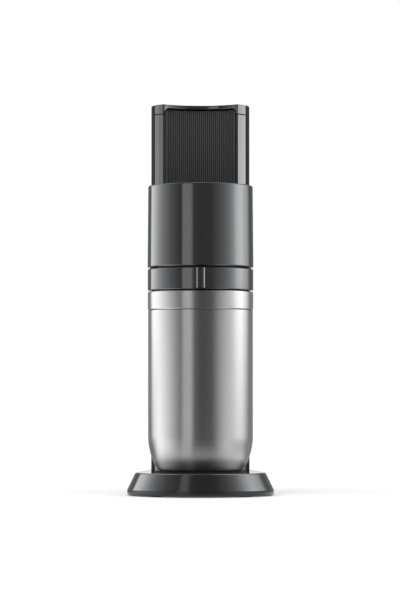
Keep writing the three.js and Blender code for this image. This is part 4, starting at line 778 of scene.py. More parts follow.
# the right-hand horn's slanted face, from its side round to its tip
nose = softened([
    (horn_x, nose_y + 3 * MM, 0), (horn_x, nose_y, 1.4 * MM),
    (horn_x - 0.46 * HORN_NOSE_WIDTH, nose_y - 0.52 * HORN_NOSE_DEPTH, 22 * MM),
    (horn_tip_x, front_low.y, 1.2 * MM), (WINDOW_X, front_low.y, 0),
], 8)[1:-1]
horn_plan = nose[::-1] + [(horn_x, horn_rear_y), (WINDOW_X, horn_rear_y)] + softened([
    (WINDOW_X, horn_rear_y, 0), (WINDOW_X, front_low.y, 0.6 * MM), (horn_tip_x, front_low.y, 0),
])[1:-1]
horn_right = stacked(
    "horn_right", horn_plan, front_low.z, HORN_TOP,
    [(0.3, 0), (0, 0.3)], [(0, 0.6), (0.08, 0.3), (0.25, 0.08), (0.5, 0)],
)
lug = block_piece("lug", *LUG_X, *LUG_Y, HORN_TOP - LUG_ROOT, LUG_TOP, 0.4 * MM)
hollow_front = walled("hollow_front", cradle_arc(WINDOW_X + 0.6 * MM, cradle_r, 64), [
    (0, front_low.z), (0, WINDOW_SILL - 0.5 * MM), (-0.15 * MM, WINDOW_SILL - 0.15 * MM),
    (-0.5 * MM, WINDOW_SILL), (-COVER_WALL, WINDOW_SILL), (-COVER_WALL, front_low.z),
])


def merged(name, *parts):
    """Puts finished parts of one moulding into one mesh."""
    bm = bmesh.new()
    for part in parts:
        bm.from_mesh(part.data)
        bpy.data.objects.remove(part)
    return shaded(bm_piece(name, bm))


horn_left = mirror_x(horn_right, "horn_left")
lug_left = mirror_x(lug, "lug_left")
front_piece = merged("column_front", horn_right, horn_left, hollow_front, lug, lug_left)
dress(front_piece, gloss_black, "gloss_black", "stand", "front_cover")
# the horns' outer sides, in the slots beside the side shells, get the near-black colour: painted shade
paint_shade_on_faces(front_piece, painted_shade_black, lambda centre, normal: abs(centre.x) > horn_x - NEAR)

# Ribbed panel. A matt black strip, curved in plan, closes the gap between the horns. Fine upright ribs run
# over its front, up to a plain edge each side.

PANEL_WALL = 2.0 * MM
PANEL_R = cradle_r + 5.3 * MM
RIB_COUNT = 35
RIB_R = 0.65 * MM
RIB_ROW_R = PANEL_R - 0.1 * MM
RIB_SIDES = 8
PLAIN_EDGE = 3 * MM
panel_low, panel_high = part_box("ribbed_panel")
matt_black = grained_finish("matt_black", (0.071, 0.071, 0.073), 0.42, grain=0.6)
ribs_tree, given, made = new_tree(
    "ribs", ("Count", "Int", 72), ("Radius", "Float", PANEL_R), ("Half Angle", "Float", 0.6),
    ("Height", "Float", 0.2), ("Rib Radius", "Float", 0.8 * MM), ("Place", "Vector", (0, 0, 0)),
)
row = add_node(
    ribs_tree, "GeometryNodeCurveArc", (given["Count"], "Resolution"), (given["Radius"], "Radius"),
    (maths(ribs_tree, "SUBTRACT", math.pi / 2, given["Half Angle"]), "Start Angle"),
    (times(ribs_tree, given["Half Angle"], 2.0), "Sweep Angle"), mode="RADIUS",
)
height = add_node(ribs_tree, "ShaderNodeCombineXYZ", (given["Height"], "Z"))
stem = add_node(ribs_tree, "GeometryNodeCurvePrimitiveLine", (height.outputs[0], "End"))
section = add_node(
    ribs_tree, "GeometryNodeCurvePrimitiveCircle", (given["Rib Radius"], "Radius"), (RIB_SIDES, "Resolution")
)
rib = add_node(
    ribs_tree, "GeometryNodeCurveToMesh",
    (stem.outputs[0], "Curve"), (section.outputs[0], "Profile Curve"), (True, "Fill Caps"),
)
stood = add_node(
    ribs_tree, "GeometryNodeInstanceOnPoints", (row.outputs[0], "Points"), (rib.outputs[0], "Instance")
)
moved = add_node(
    ribs_tree, "GeometryNodeTransform", (stood.outputs[0], "Geometry"), (given["Place"], "Translation")
)
end_tree(ribs_tree, given, made, moved.outputs[0])

ribbed_x = panel_high.x - PLAIN_EDGE
ribs = grow(
    placed("ribs", bpy.data.meshes.new("ribs")), ribs_tree, Count=RIB_COUNT, Radius=RIB_ROW_R,
    Half_Angle=math.asin(ribbed_x / PANEL_R), Height=panel_high.z - panel_low.z - 2 * SEAT,
    Rib_Radius=RIB_R, Place=(0, bottle_y, panel_low.z + SEAT), Finish=matt_black,
)
strip_x = panel_high.x * PANEL_R / (PANEL_R + PANEL_WALL)
panel_back = walled(
    "panel_back", cradle_arc(strip_x, PANEL_R, 60), wall_section(-PANEL_WALL, panel_low.z, panel_high.z)
)
ribbed_strip = merged("ribbed_strip", panel_back, ribs)
dress(ribbed_strip, matt_black, "matt_black", "stand", "ribbed_panel")


def between_ribs(centre, normal):
    """Whether a face belongs to the strip behind the ribs."""
    behind = math.hypot(centre.x, centre.y - bottle_y) > PANEL_R - 0.5 * NEAR
    return behind and abs(centre.x) < ribbed_x and abs(normal.z) < 0.5


# the strip between the ribs gets the near-black colour: painted shade in the grooves
paint_shade_on_faces(ribbed_strip, painted_shade_black, between_ribs)

# Rear cover. The round back of the column in the same black gloss plastic, with a finger scoop at its top
# edge and tongues that reach in behind the side shells.

REAR_WALL = 2.2 * MM
SCOOP_R = 9 * MM
TONGUE_X = (3.2 * MM, 0.8 * MM)
TONGUE_REACH = 4.8 * MM
TONGUE_HEIGHT = 12 * MM
cover_r = cover_high.y - gas_y
reach = math.degrees(math.asin((split_y - gas_y) / cover_r))
cover_path = arc(0, gas_y, cover_r, reach, 180 - reach, 96)
rear_cover = walled("column_back", cover_path, wall_section(REAR_WALL, cover_low.z, cover_high.z))


def bar_piece(name, r, start, end, steps=64):
    """A plain round bar between two points, for cutting."""
    start, end = Vector(start), Vector(end)
    length = (end - start).length
    turn = (end - start).to_track_quat("Z", "Y").to_matrix()
    bm = bmesh.new()
    bmesh.ops.create_cone(bm, cap_ends=True, segments=steps, radius1=r, radius2=r, depth=length)
    bmesh.ops.rotate(bm, verts=bm.verts, cent=(0, 0, 0), matrix=turn)
    bmesh.ops.translate(bm, verts=bm.verts, vec=(start + end) / 2)
    return finish_mesh(name, bm)


def on_side(side, near, far):
    """The two x of what lies from near to far on one side, -1 for the left and 1 for the right."""
    return sorted((side * near, side * far))


scoop_z = cover_high.z + 3 * MM
scoop = bar_piece("scoop", SCOOP_R, (0, cover_high.y - 6 * MM, scoop_z), (0, cover_high.y + 4 * MM, scoop_z))
rear_cover = edged(carve(rear_cover, scoop), 0.5 * MM)
tongue_x = math.sqrt((cover_r - REAR_WALL) ** 2 - (split_y - gas_y) ** 2) - SEAT
tongues = []
for z in (cover_low.z + 10 * MM, cover_high.z - 22 * MM):
    for side in (-1, 1):
        span = on_side(side, tongue_x - TONGUE_X[0], tongue_x - TONGUE_X[1])
        tongues.append(block_piece(
            "tongue", *span, cover_low.y, split_y + TONGUE_REACH, z, z + TONGUE_HEIGHT, 0.4 * MM
        ))
dress(merged("column_rear_cover", rear_cover, *tongues), gloss_black, "gloss_black", "cover", "rear_cover")

# Gas cylinder. A standard 60 mm aluminium cylinder in pale painted finish stands in a plastic cup behind
# the channel. A brass valve is screwed into its neck.

NECK_R = 15 * MM
NECK_BORE_R = 9 * MM
NECK_HEIGHT = 12 * MM
NECK_BORE = 18 * MM
NECK_EDGE = 0.8 * MM
SHOULDER = 30 * MM
TANK_HEEL = 6 * MM
painted_grey = smooth_finish("tank_paint", (0.42, 0.45, 0.47), 0.34, metallic=0.2, Dust=0.08, Hairlines=0.12)
brass = grained_finish("turned_brass", (0.72, 0.5, 0.2), 0.28, grain=0.4, depth=0.01 * MM, metallic=1.0)
tank_low, tank_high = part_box("gas_cylinder")
tank_r = tank_high.x


def quarter(cx, cz, rx, rz, start, steps=14):
    """Points round a quarter of an ellipse in a profile, anticlockwise from a start in degrees."""
    turns = [math.radians(start + 90 * i / steps) for i in range(steps + 1)]
    return [(cx + rx * math.cos(a), cz + rz * math.sin(a)) for a in turns]


tank_profile = [(0, tank_low.z + 2.5 * MM), (tank_r - 2 * TANK_HEEL, tank_low.z + 1 * MM)]
tank_profile += quarter(tank_r - TANK_HEEL, tank_low.z + TANK_HEEL, TANK_HEEL, TANK_HEEL, -90)
tank_profile += quarter(NECK_R, tank_high.z - NECK_HEIGHT - SHOULDER, tank_r - NECK_R, SHOULDER, 0, 24)
tank_profile += [
    (NECK_R, tank_high.z - NECK_EDGE), (NECK_R - NECK_EDGE, tank_high.z), (NECK_BORE_R, tank_high.z),
    (NECK_BORE_R, tank_high.z - NECK_BORE), (0, tank_high.z - NECK_BORE),
]
dress(spun("cylinder_body", tank_profile, 0, gas_y), painted_grey, "tank_paint", "stand", "gas_cylinder")
repaint(brass, "cylinder_valve")
repaint(satin_black, "cylinder_seat")

# Valve block, clamp and plunger. A black plastic block seals on the valve. A steel yoke with a moulded grip
# swings up from it to free the cylinder, and a spring holds the plunger up against the lever.

YOKE_WALL = 3 * MM
YOKE_BEND = 4 * MM
CLAMP_PIN_R = 2.5 * MM
grip_plastic = grained_finish("grip_plastic", (0.3, 0.31, 0.32), 0.46, grain=1.2)
repaint(satin_black, "valve_block")
repaint(rubber, "valve_gasket")
repaint(ground, "valve_pin", "clamp_pin_left", "clamp_pin_right", "hinge_pin_left", "hinge_pin_right")

yoke_low, yoke_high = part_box("clamp_yoke")
pivot_z = middle("clamp_yoke").z
pivot_y = middle("clamp_pin_left").y
yoke_in_x = yoke_high.x - YOKE_WALL
yoke_in_y = yoke_high.y - YOKE_WALL
yoke_plan = softened([
    (yoke_high.x, pivot_y, 0), (yoke_high.x, yoke_high.y, YOKE_BEND), (yoke_low.x, yoke_high.y, YOKE_BEND),
    (yoke_low.x, pivot_y, 0), (-yoke_in_x, pivot_y, 0), (-yoke_in_x, yoke_in_y, 1.5 * MM),
    (yoke_in_x, yoke_in_y, 1.5 * MM), (yoke_in_x, pivot_y, 0),
], 8)
yoke = stacked("clamp_bow", yoke_plan, yoke_low.z, yoke_high.z)


def side_bar(name, side, near, far, r, y, z, steps=64):
    """A round bar across one side of the machine, for cutting or joining."""
    x0, x1 = on_side(side, near, far)
    return bar_piece(name, r, (x0, y, z), (x1, y, z), steps)


for side in (-1, 1):
    eye = side_bar("eye", side, yoke_in_x, yoke_high.x, (yoke_high.z - yoke_low.z) / 2, pivot_y, pivot_z)
    carve(yoke, eye, operation="UNION")
    near, far = yoke_in_x - 1 * MM, yoke_high.x + 1 * MM
    carve(yoke, side_bar("hole", side, near, far, CLAMP_PIN_R + 0.2 * MM, pivot_y, pivot_z, 40))
dress(edged(yoke, 0.35 * MM, 2), pressed, "steel_plate", "clamp", "clamp_yoke")

GRIP_RIDGES = 5
FIRST_RIDGE = 3.2
RIDGE_PITCH = 2.4
grip_low, grip_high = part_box("clamp_grip")
grip_y = (grip_low.y + grip_high.y) / 2
grip_r = (grip_high.y - grip_low.y) / 2
grip_x = grip_high.x - grip_r
grip_plan = arc(grip_x, grip_y, grip_r, -90, 90, 14) + arc(-grip_x, grip_y, grip_r, 90, 270, 14)
grip_edge = [(1.2, 0), (0.35, 0.35), (0, 1.2)]
ridges = []
for i in range(GRIP_RIDGES):
    rise = FIRST_RIDGE + RIDGE_PITCH * i
    ridges += [(0, rise - 0.6), (0.45, rise), (0, rise + 0.6)]
grip = stacked("clamp_handle", grip_plan, grip_low.z, grip_high.z, grip_edge + ridges, grip_edge[::-1], 50)
dress(grip, grip_plastic, "grip", "clamp", "clamp_grip")

STEM_R = 4 * MM
FLANGE_R = 7 * MM
FLANGE_HEIGHT = 2.5 * MM
HEAD_HEIGHT = 7 * MM
plunger_low, plunger_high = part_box("valve_plunger")
flange_z = plunger_high.z - HEAD_HEIGHT
flange_top = flange_z + FLANGE_HEIGHT
plunger_profile = softened([
    (0, plunger_low.z, 0), (STEM_R, plunger_low.z, 0.5 * MM), (STEM_R, flange_z, 0),
    (FLANGE_R, flange_z, 0.4 * MM), (FLANGE_R, flange_top, 0.4 * MM), (STEM_R, flange_top, 0),
    (STEM_R, plunger_high.z, 0.8 * MM), (0, plunger_high.z, 0),
])
plunger_profile = [(min(r, FLANGE_R - 0.35 * MM), z) for r, z in plunger_profile]
plunger = spun("plunger_stem", plunger_profile, 0, gas_y, 48)
dress(plunger, ground, "brushed_steel", "plunger", "valve_plunger")


def coiled(name, node, y, turns, steps, coil_r, wire_r, play, sides):
    """A wire or tube wound from the foot to the top of a node's box, closed at both ends."""
    low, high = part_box(node)
    z0, z1 = low.z + wire_r + play, high.z - wire_r - play
    count = turns * steps
    angles = [2 * math.pi * i / steps for i in range(count + 1)]
    places = [
        Vector((coil_r * math.cos(a), y + coil_r * math.sin(a), z0 + (z1 - z0) * i / count))
        for i, a in enumerate(angles)
    ]
    turned = [2 * math.pi * k / sides for k in range(sides)]
    rings = []
    out = None
    for i, here in enumerate(places):
        ahead = (places[min(i + 1, count)] - places[max(i - 1, 0)]).normalized()
        if out is None:
            out = ahead.orthogonal().normalized()
        out = (out - ahead * out.dot(ahead)).normalized()
        other = ahead.cross(out)
        rings.append([here + (out * math.cos(t) + other * math.sin(t)) * wire_r for t in turned])
    return skinned(name, rings, 50)


def stretch(coil, finish, node):
    """Gives a coil its finish, hides the CAD node it stands for and bakes its place into its mesh."""
    coil.data.materials.append(finish)
    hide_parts(node)
    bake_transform(coil)


spring = coiled("return_spring", "plunger_spring", gas_y, 4, 28, 6 * MM, 0.55 * MM, 0.1 * MM, 10)
stretch(spring, ground, "plunger_spring")

# Gas line. A brass pipe runs from the block down behind the channel and through it, and a black coiled hose
# lengthens as the head rises. A thin line leads from the carriage to the head's valve.

repaint(brass, "gas_pipe", "gas_capillary")
rod_y = middle("guide_rod_left").y
hose = coiled("coiled_hose", "gas_hose", rod_y, 5, 32, 6 * MM, 1.9 * MM, 0.2 * MM, 14)
stretch(hose, rubber, "gas_hose")

# Lever. A gloss black cap covers the top of the column. It is hinged at the horns, its top is dished for
# the palm, and a boss below it bears on the plunger when its rear is pressed.

LEVER_PLATE = 438.6 * MM
LEVER_WALL = 2 * MM
ARCH_R = 4.5 * MM
ARCH_STEPS = 40
DISH_DEPTH = 2 * MM
DISH_SPAN = 78 * MM
DISH_STEPS = 720
LEG_WALL = 2.4 * MM
HINGE_HOLE_R = 1.7 * MM
# how far a cutter runs past what it cuts
PAST = 1 * MM
lever_low, lever_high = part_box("lever_cap")
lever_y = lever_low.y
legs_rear_y = horn_rear_y + 2.5 * MM
legs_top = LEVER_PLATE + 0.5 * MM


def closed_anticlockwise(points):
    """The outline without doubled points, turned anticlockwise."""
    kept = [p for i, p in enumerate(points) if (Vector(p) - Vector(points[i - 1])).length > 0.05 * MM]
    area = sum(a[0] * b[1] - b[0] * a[1] for a, b in zip(kept, kept[1:] + kept[:1]))
    return kept if area > 0 else kept[::-1]


cap_plan = nose[::-1] + arc(0, gas_y, horn_x, 0, 180, 96) + [(-x, y) for x, y in nose]
cap_plan += cradle_arc(WINDOW_X, cradle_r, ARCH_STEPS)[::-1]
cap_piece = stacked(
    "lever_body", closed_anticlockwise(cap_plan), lever_low.z, lever_high.z,
    top=[(0, 0.6), (0.1, 0.25), (0.25, 0.1), (0.5, 0)],
)
inner_x = horn_x - LEVER_WALL
inner_y = nose_y + 1 * MM
inner_r = cradle_r + LEVER_WALL
hollow_plan = [(inner_x, inner_y)] + arc(0, gas_y, inner_x, 0, 180, 96) + [(-inner_x, inner_y)]
hollow_plan += cradle_arc(WINDOW_X + 0.4 * MM, inner_r, ARCH_STEPS)[::-1]
hollow = stacked("cap_hollow", hollow_plan, lever_low.z - PAST, LEVER_PLATE)
corner_y = lever_y + 4.2 * MM
arch_rear_y = corner_y + ARCH_R
legs = []
for side in (-1, 1):
    leg_span = on_side(side, WINDOW_X, WINDOW_X + LEG_WALL)
    corner_span = on_side(side, WINDOW_X - ARCH_R, WINDOW_X + 1.1 * MM)
    legs.append(block_piece("leg", *leg_span, lever_y + 2.2 * MM, legs_rear_y, lever_low.z, legs_top))
    legs.append(block_piece("corner", *corner_span, corner_y, arch_rear_y, lever_low.z, legs_top))
carve(cap_piece, hollow)
carve(cap_piece, *legs, operation="UNION")

arch_profile = softened([
    (WINDOW_X, lever_low.z - PAST, 0), (WINDOW_X, LEVER_PLATE, ARCH_R),
    (-WINDOW_X, LEVER_PLATE, ARCH_R), (-WINDOW_X, lever_low.z - PAST, 0),
], 12)
arch_ends = (lever_y - 2 * MM, arch_rear_y + 0.1 * MM)
arch = skinned("arch", [[(x, y, z) for x, z in arch_profile] for y in arch_ends])
behind_arch = block_piece(
    "behind_arch", -WINDOW_X, WINDOW_X, arch_rear_y, legs_rear_y, lever_low.z - PAST, LEVER_PLATE
)
# a rounded lip along the cap's lower front edge
lip_cut = walled("lip_cut", cradle_arc(WINDOW_X - ARCH_R, cradle_r, ARCH_STEPS), [
    (0.6 * MM, LEVER_PLATE - 1 * MM), (-1.1 * MM, LEVER_PLATE - 1 * MM), (-1.1 * MM, LEVER_PLATE),
    (-0.55 * MM, LEVER_PLATE + 0.15 * MM), (-0.15 * MM, LEVER_PLATE + 0.55 * MM), (0, LEVER_PLATE + 1.1 * MM),
    (0.6 * MM, LEVER_PLATE + 1.1 * MM),
])
dish_r = (DISH_SPAN ** 2 / 4 + DISH_DEPTH ** 2) / (2 * DISH_DEPTH)
dish_z = lever_high.z - DISH_DEPTH + dish_r
dish_front_y = bottle_y + cradle_r + 7 * MM
dish_rear_y = gas_y + horn_x - 7 * MM
dish = bar_piece("dish", dish_r, (0, dish_front_y, dish_z), (0, dish_rear_y, dish_z), DISH_STEPS)
carve(cap_piece, arch, behind_arch, dish, lip_cut)
hinge = middle("hinge_pin_left")
for side in (-1, 1):
    near, far = WINDOW_X - 1 * MM, WINDOW_X + 4 * MM
    carve(cap_piece, side_bar("hole", side, near, far, HINGE_HOLE_R, hinge.y, hinge.z, 32))
lever_body = dress(edged(cap_piece, 0.35 * MM, 3, 40), gloss_black, "satin_black", "lever", "lever_cap")
# the cap's downward faces get the darker satin colour: painted shade under the cap
paint_shade_on_faces(lever_body, satin_black, lambda centre, normal: normal.z < -0.9 and centre.z > lever_low.z + PAST)
repaint(satin_black, "lever_boss")

# Head. A glossy black shell round the front and both sides, with a lid let into its top and a floor in its
# foot. It saddles the column and slides up on it.

HEAD_INNER = 56.4 * MM
HEAD_TOP_R = 58.6 * MM
HEAD_STEPS = 72
HEAD_EDGE = 1.5 * MM
HEAD_TOP_EDGE = 1.6 * MM
EDGE_STEPS = 6
PAD_REAR_Y = -12.5 * MM
head_low, head_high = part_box("head_shell")
head_foot_r = head_high.x
cheek_y = head_high.y


def head_side(above):
    """A point of the head's outside at a height above its foot: it tapers very slightly upwards."""
    share = above / (head_high.z - head_low.z)
    return head_foot_r + (HEAD_TOP_R - head_foot_r) * share, head_low.z + above


# up the outside from its rounded foot, over the top and down the inside
head_wall = [
    (head_foot_r - 1.2 * MM, head_low.z), (head_foot_r - 0.45 * MM, head_low.z + 0.3 * MM),
    (head_foot_r - 0.1 * MM, head_low.z + 0.85 * MM), (head_foot_r, head_low.z + HEAD_EDGE),
    head_side(30 * MM), head_side(60 * MM),
]
for step in range(EDGE_STEPS + 1):
    a = math.pi / 2 * step / EDGE_STEPS
    head_wall.append((
        HEAD_TOP_R + HEAD_TOP_EDGE * (math.cos(a) - 1), head_high.z + HEAD_TOP_EDGE * (math.sin(a) - 1)
    ))
head_wall += [(HEAD_INNER + 0.1 * MM, head_high.z), (HEAD_INNER, head_high.z - 0.3 * MM)]
head_wall += [(HEAD_INNER, head_low.z + 0.3 * MM), (HEAD_INNER + 0.3 * MM, head_low.z)]
cheek = [(HEAD_INNER, cheek_y), (HEAD_INNER, (cheek_y + bottle_y) / 2)]
head_path = cheek + arc(0, bottle_y, HEAD_INNER, 0, -180, HEAD_STEPS) + [(-x, y) for x, y in cheek[::-1]]
head_rings = []
for x, y in head_path:
    out = Vector((x, min(y - bottle_y, 0))).normalized()
    head_rings.append([(x + out.x * (r - HEAD_INNER), y + out.y * (r - HEAD_INNER), z) for r, z in head_wall])
head_piece = skinned("head_body", head_rings, 40)
arm_low, arm_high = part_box("carriage_arm_right")
pads = []
for side in (-1, 1):
    span = on_side(side, arm_high.x + SEAT, HEAD_INNER + 0.6 * MM)
    pads.append(block_piece("pad", *span, arm_low.y, PAD_REAR_Y, arm_low.z, arm_high.z, 0.3 * MM))
dress(merged("head_moulding", head_piece, *pads), gloss_black, "gloss_black", "head", "head_shell")

LID_NECK_X = 39.8 * MM
LID_SIDE = 43.5 * MM
lid_low, lid_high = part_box("head_lid")
lid_r = HEAD_INNER - SEAT
lid_rear_r = lid_high.y - bottle_y
lid_side_y = bottle_y + LID_SIDE
neck = math.degrees(math.acos(LID_NECK_X / lid_rear_r))
# round front, then a rounded neck that nests in the hollow column
lid_plan = arc(0, bottle_y, lid_r, -180, 0, 64) + [(lid_r, lid_side_y), (LID_NECK_X, lid_side_y)]
lid_plan += arc(0, bottle_y, lid_rear_r, neck, 180 - neck, 32)
lid_plan += [(-LID_NECK_X, lid_side_y), (-lid_r, lid_side_y)]
lid = stacked(
    "head_cap", lid_plan, lid_low.z, lid_high.z, [(0.3, 0), (0, 0.3)], [(0, 0.6), (0.18, 0.18), (0.6, 0)]
)
dress(lid, gloss_black, "gloss_black", "head", "head_lid")
repaint(satin_black, "head_floor", "carriage_bridge", "nozzle_block", "nozzle_tube", "nozzle_tip")
repaint(pressed, "carriage_arm_left", "carriage_arm_right")
repaint(brass, "guide_bush_left", "guide_bush_right", "relief_valve")
repaint(rubber, "bottle_seal")

# Locking ring. A glossy black ring below the head turns on the head's spigot by a ridged tab at its front.
# Its three catches stand just above the vessel's collar.

RING_WALL = 8.1 * MM
RING_EDGE = 1.0 * MM
GROOVE_FOOT = 11.2 * MM
GROOVE_TOP = 13.8 * MM
CATCHES = 3
CATCH_TURN = 30
CATCH_HEIGHT = 3.5 * MM
CATCH_WIDTH = 5 * MM
TAB_RIB = 1.3 * MM
ring_low, ring_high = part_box("locking_ring")
tab_low, tab_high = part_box("ring_tab")
ring_r = ring_high.x
ring_inner = ring_r - RING_WALL
ring_foot = ring_low.z - 0.5 * MM
groove_r = ring_inner + 1.9 * MM
groove_z0 = ring_low.z + GROOVE_FOOT
groove_z1 = ring_low.z + GROOVE_TOP
ring_profile = softened([
    (ring_inner, ring_foot, 0.4 * MM), (ring_r, ring_foot, RING_EDGE), (ring_r, ring_high.z, RING_EDGE),
    (ring_inner, ring_high.z, 0.4 * MM), (ring_inner, groove_z1, 0), (groove_r, groove_z1, 0),
    (groove_r, groove_z0, 0), (ring_inner, groove_z0, 0),
], 6)
ring_body = spun("ring_body", ring_profile, 0, bottle_y, 144)
pocket_x = tab_high.x + SEAT
pocket_y = bottle_y - ring_r
carve(ring_body, block_piece(
    "pocket", -pocket_x, pocket_x, pocket_y - 2 * MM, pocket_y + 2.2 * MM,
    ring_low.z - 1 * MM, ring_high.z + 1 * MM
))
catches = []
for i in range(CATCHES):
    start = 360 / CATCHES * i
    path = arc(0, bottle_y, ring_inner + 0.5 * MM, start, start + CATCH_TURN, 16)
    catches.append(walled("catch", path, wall_section(CATCH_WIDTH, ring_low.z, ring_low.z + CATCH_HEIGHT)))
dress(merged("turning_ring", ring_body, *catches), gloss_black, "gloss_black", "ring", "locking_ring")

tab_x = tab_high.x
half_tab = [
    (tab_x - 2.6 * TAB_RIB, tab_low.y + 2.2 * MM, 0.5 * MM), (tab_x - 2 * TAB_RIB, tab_low.y, 0.4 * MM),
    (tab_x - TAB_RIB, tab_low.y, 0.5 * MM), (tab_x, tab_low.y + 1.4 * TAB_RIB, 0.5 * MM),
    (tab_x, tab_high.y, 0),
]
tab_plan = softened([(-x, y, r) for x, y, r in reversed(half_tab)] + half_tab, 5)
tab_edge = [(0.6, 0), (0.15, 0.2), (0, 0.6)]
tab = stacked(
    "thumb_tab", closed_anticlockwise(tab_plan), tab_low.z, tab_high.z, tab_edge, tab_edge[::-1]
)
dress(tab, gloss_black, "satin_black", "ring", "ring_tab")

# Vessel. A deep-drawn stainless steel cup, brushed round and round, that draws in towards its foot. A
# brushed collar sits in a step at its top, and a plastic liner takes the bottle.

BEND_R = 70 * MM
BEND_TOP = 38 * MM
BEND_FOOT = 1.5 * MM
STEEL_TOP = 206 * MM
STEEL_WALL = 1.4 * MM
STEEL_EDGE = 0.8 * MM
REBATE = 1.9 * MM
CUP_STEPS = 160
vessel_low, vessel_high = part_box("vessel_shell")
collar_low, collar_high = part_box("vessel_collar")
vessel_r = vessel_high.x
collar_r = collar_high.x
rebate_r = vessel_r - REBATE


def vessel_bend(inset, steps=28):
    """(r, z) points up the curved side of the cup, taken in by a wall."""
    r = BEND_R - inset
    bend_z = vessel_low.z + BEND_TOP
    reach = math.asin((BEND_TOP - inset - BEND_FOOT) / r)
    turns = [-reach + reach * i / steps for i in range(steps + 1)]
    return [(vessel_r - BEND_R + r * math.cos(a), bend_z + r * math.sin(a)) for a in turns]


foot_curve = vessel_bend(0)
curve_r = foot_curve[0][0]
# up the outside, in at the step for the collar, and down the inside
cup_profile = [
    (0, vessel_low.z), (curve_r - 2.6 * MM, vessel_low.z), (curve_r - 1.4 * MM, vessel_low.z + 0.2 * MM),
    (curve_r - 0.5 * MM, vessel_low.z + 0.75 * MM), *foot_curve,
    (vessel_r, STEEL_TOP - STEEL_EDGE), (vessel_r - 0.3 * STEEL_EDGE, STEEL_TOP - 0.3 * STEEL_EDGE),
    (vessel_r - STEEL_EDGE, STEEL_TOP), (rebate_r, STEEL_TOP), (rebate_r, vessel_high.z),
    (rebate_r - STEEL_WALL, vessel_high.z), (rebate_r - STEEL_WALL, STEEL_TOP - 3 * MM),
    (vessel_r - STEEL_WALL, STEEL_TOP - 4.5 * MM), *vessel_bend(STEEL_WALL)[::-1],
    (0, vessel_low.z + STEEL_WALL),
]
steel_cup = spun("steel_cup", cup_profile, 0, bottle_y, CUP_STEPS, 30)

brushing, given, made = new_group(
    "turned_brushing",
    [("Vector", "Vector", None), ("Colour", "Color", (0.6, 0.6, 0.6, 1)), ("Roughness", "Float", 0.25)],
    [("Colour", "Color"), ("Roughness", "Float"), ("Height", "Float")],
)
place = given["Vector"]
broad = noise(brushing, place, (8, 8, 1500), 3.0, 0.6)
hairs = noise(brushing, place, (26, 26, 5200), 2.0, 0.7)
patch = noise(brushing, place, 14.0, 2.0)
tone = plus(brushing, 0.95, times(brushing, broad, 0.1))
spread = plus(brushing, times(brushing, hairs, 0.1), times(brushing, patch, 0.06))
lead(
    brushing, made, Colour=mixed(brushing, 1.0, given["Colour"], tone, "MULTIPLY"),
    Roughness=plus(brushing, given["Roughness"], plus(brushing, spread, -0.08)), Height=hairs,
)

# stainless steel, brushed round the vessel's axis
brushed_steel, shader, place = material(
    "brushed_steel", Metallic=1.0, Anisotropic=0.86, Anisotropic_Rotation=0.25
)
tree = brushed_steel.node_tree
centred = add_node(tree, "ShaderNodeMapping", (place, "Vector"), ((0, -bottle_y, 0), "Location"))
around = add_node(tree, "ShaderNodeTangent", direction_type="RADIAL", axis="Z")
tree.links.new(around.outputs["Tangent"], shader.inputs["Tangent"])
turned = add_group(
    brushed_steel, brushing, centred.outputs["Vector"], shader, Colour=(0.56, 0.56, 0.56, 1), Roughness=0.3
)
add_bump(brushed_steel, turned.outputs["Height"], shader, 0.001 * MM)
dress(steel_cup, brushed_steel, "brushed_steel", "vessel", "vessel_shell")

COLLAR_HEIGHT = 2.5 * MM
mouth_r = collar_r - 7.5 * MM
collar_in_r = rebate_r + SEAT
collar_profile = softened([
    (collar_in_r, collar_low.z, 0), (collar_r, collar_low.z, 1.3 * MM), (collar_r, collar_high.z, 1.7 * MM),
    (mouth_r, collar_high.z, 0.6 * MM), (mouth_r, collar_high.z - COLLAR_HEIGHT, 0.3 * MM),
    (collar_in_r, collar_high.z - COLLAR_HEIGHT, 0),
], 6)
collar = spun("steel_collar", collar_profile, 0, bottle_y, CUP_STEPS, 30)
dress(collar, brushed_steel, "brushed_steel", "vessel", "vessel_collar")

LINER_WALL = 2 * MM
LINER_EDGE = 0.5 * MM
LINER_FLOOR = 3 * MM
liner_plastic = grained_finish("liner_plastic", (0.6, 0.61, 0.62), 0.4, grain=0.8)
liner_low, liner_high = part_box("vessel_liner")
liner_r = liner_high.x
liner_in_r = liner_r - LINER_WALL
liner_side = [(min(r, liner_r), z) for r, z in vessel_bend(STEEL_WALL + SEAT)]
liner_inside = [(min(r, liner_in_r), z) for r, z in vessel_bend(STEEL_WALL + SEAT + LINER_WALL)]
liner_profile = [
    (0, liner_low.z), (liner_side[0][0] - LINER_FLOOR, liner_low.z), *liner_side,
    (liner_r, liner_high.z - LINER_EDGE), (liner_r - LINER_EDGE, liner_high.z),
    (liner_in_r + LINER_EDGE, liner_high.z), (liner_in_r, liner_high.z - LINER_EDGE), *liner_inside[::-1],
    (liner_inside[0][0] - LINER_FLOOR, liner_low.z + LINER_WALL), (0, liner_low.z + LINER_WALL),
]
liner = spun("bottle_liner", liner_profile, 0, bottle_y, 120, 30)
dress(liner, liner_plastic, "liner", "vessel", "vessel_liner")
repaint(rubber, "vessel_foot")

# Floor. A plain pale table top that runs far enough back to meet the white background at the horizon. The
# machine's soft shadow on it is washed out a little for the camera, as in the photo.

FLOOR_HALF = 12
SHADOW_LIFT = 0.11
scene = bpy.context.scene
scene.view_settings.view_transform = "Standard"


def staged(name, points, faces):
    """A mesh that isn't part of the machine."""
    mesh = bpy.data.meshes.new(name)
    mesh.from_pydata(points, [], faces)
    made = placed(name, mesh)
    made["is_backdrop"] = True
    return made


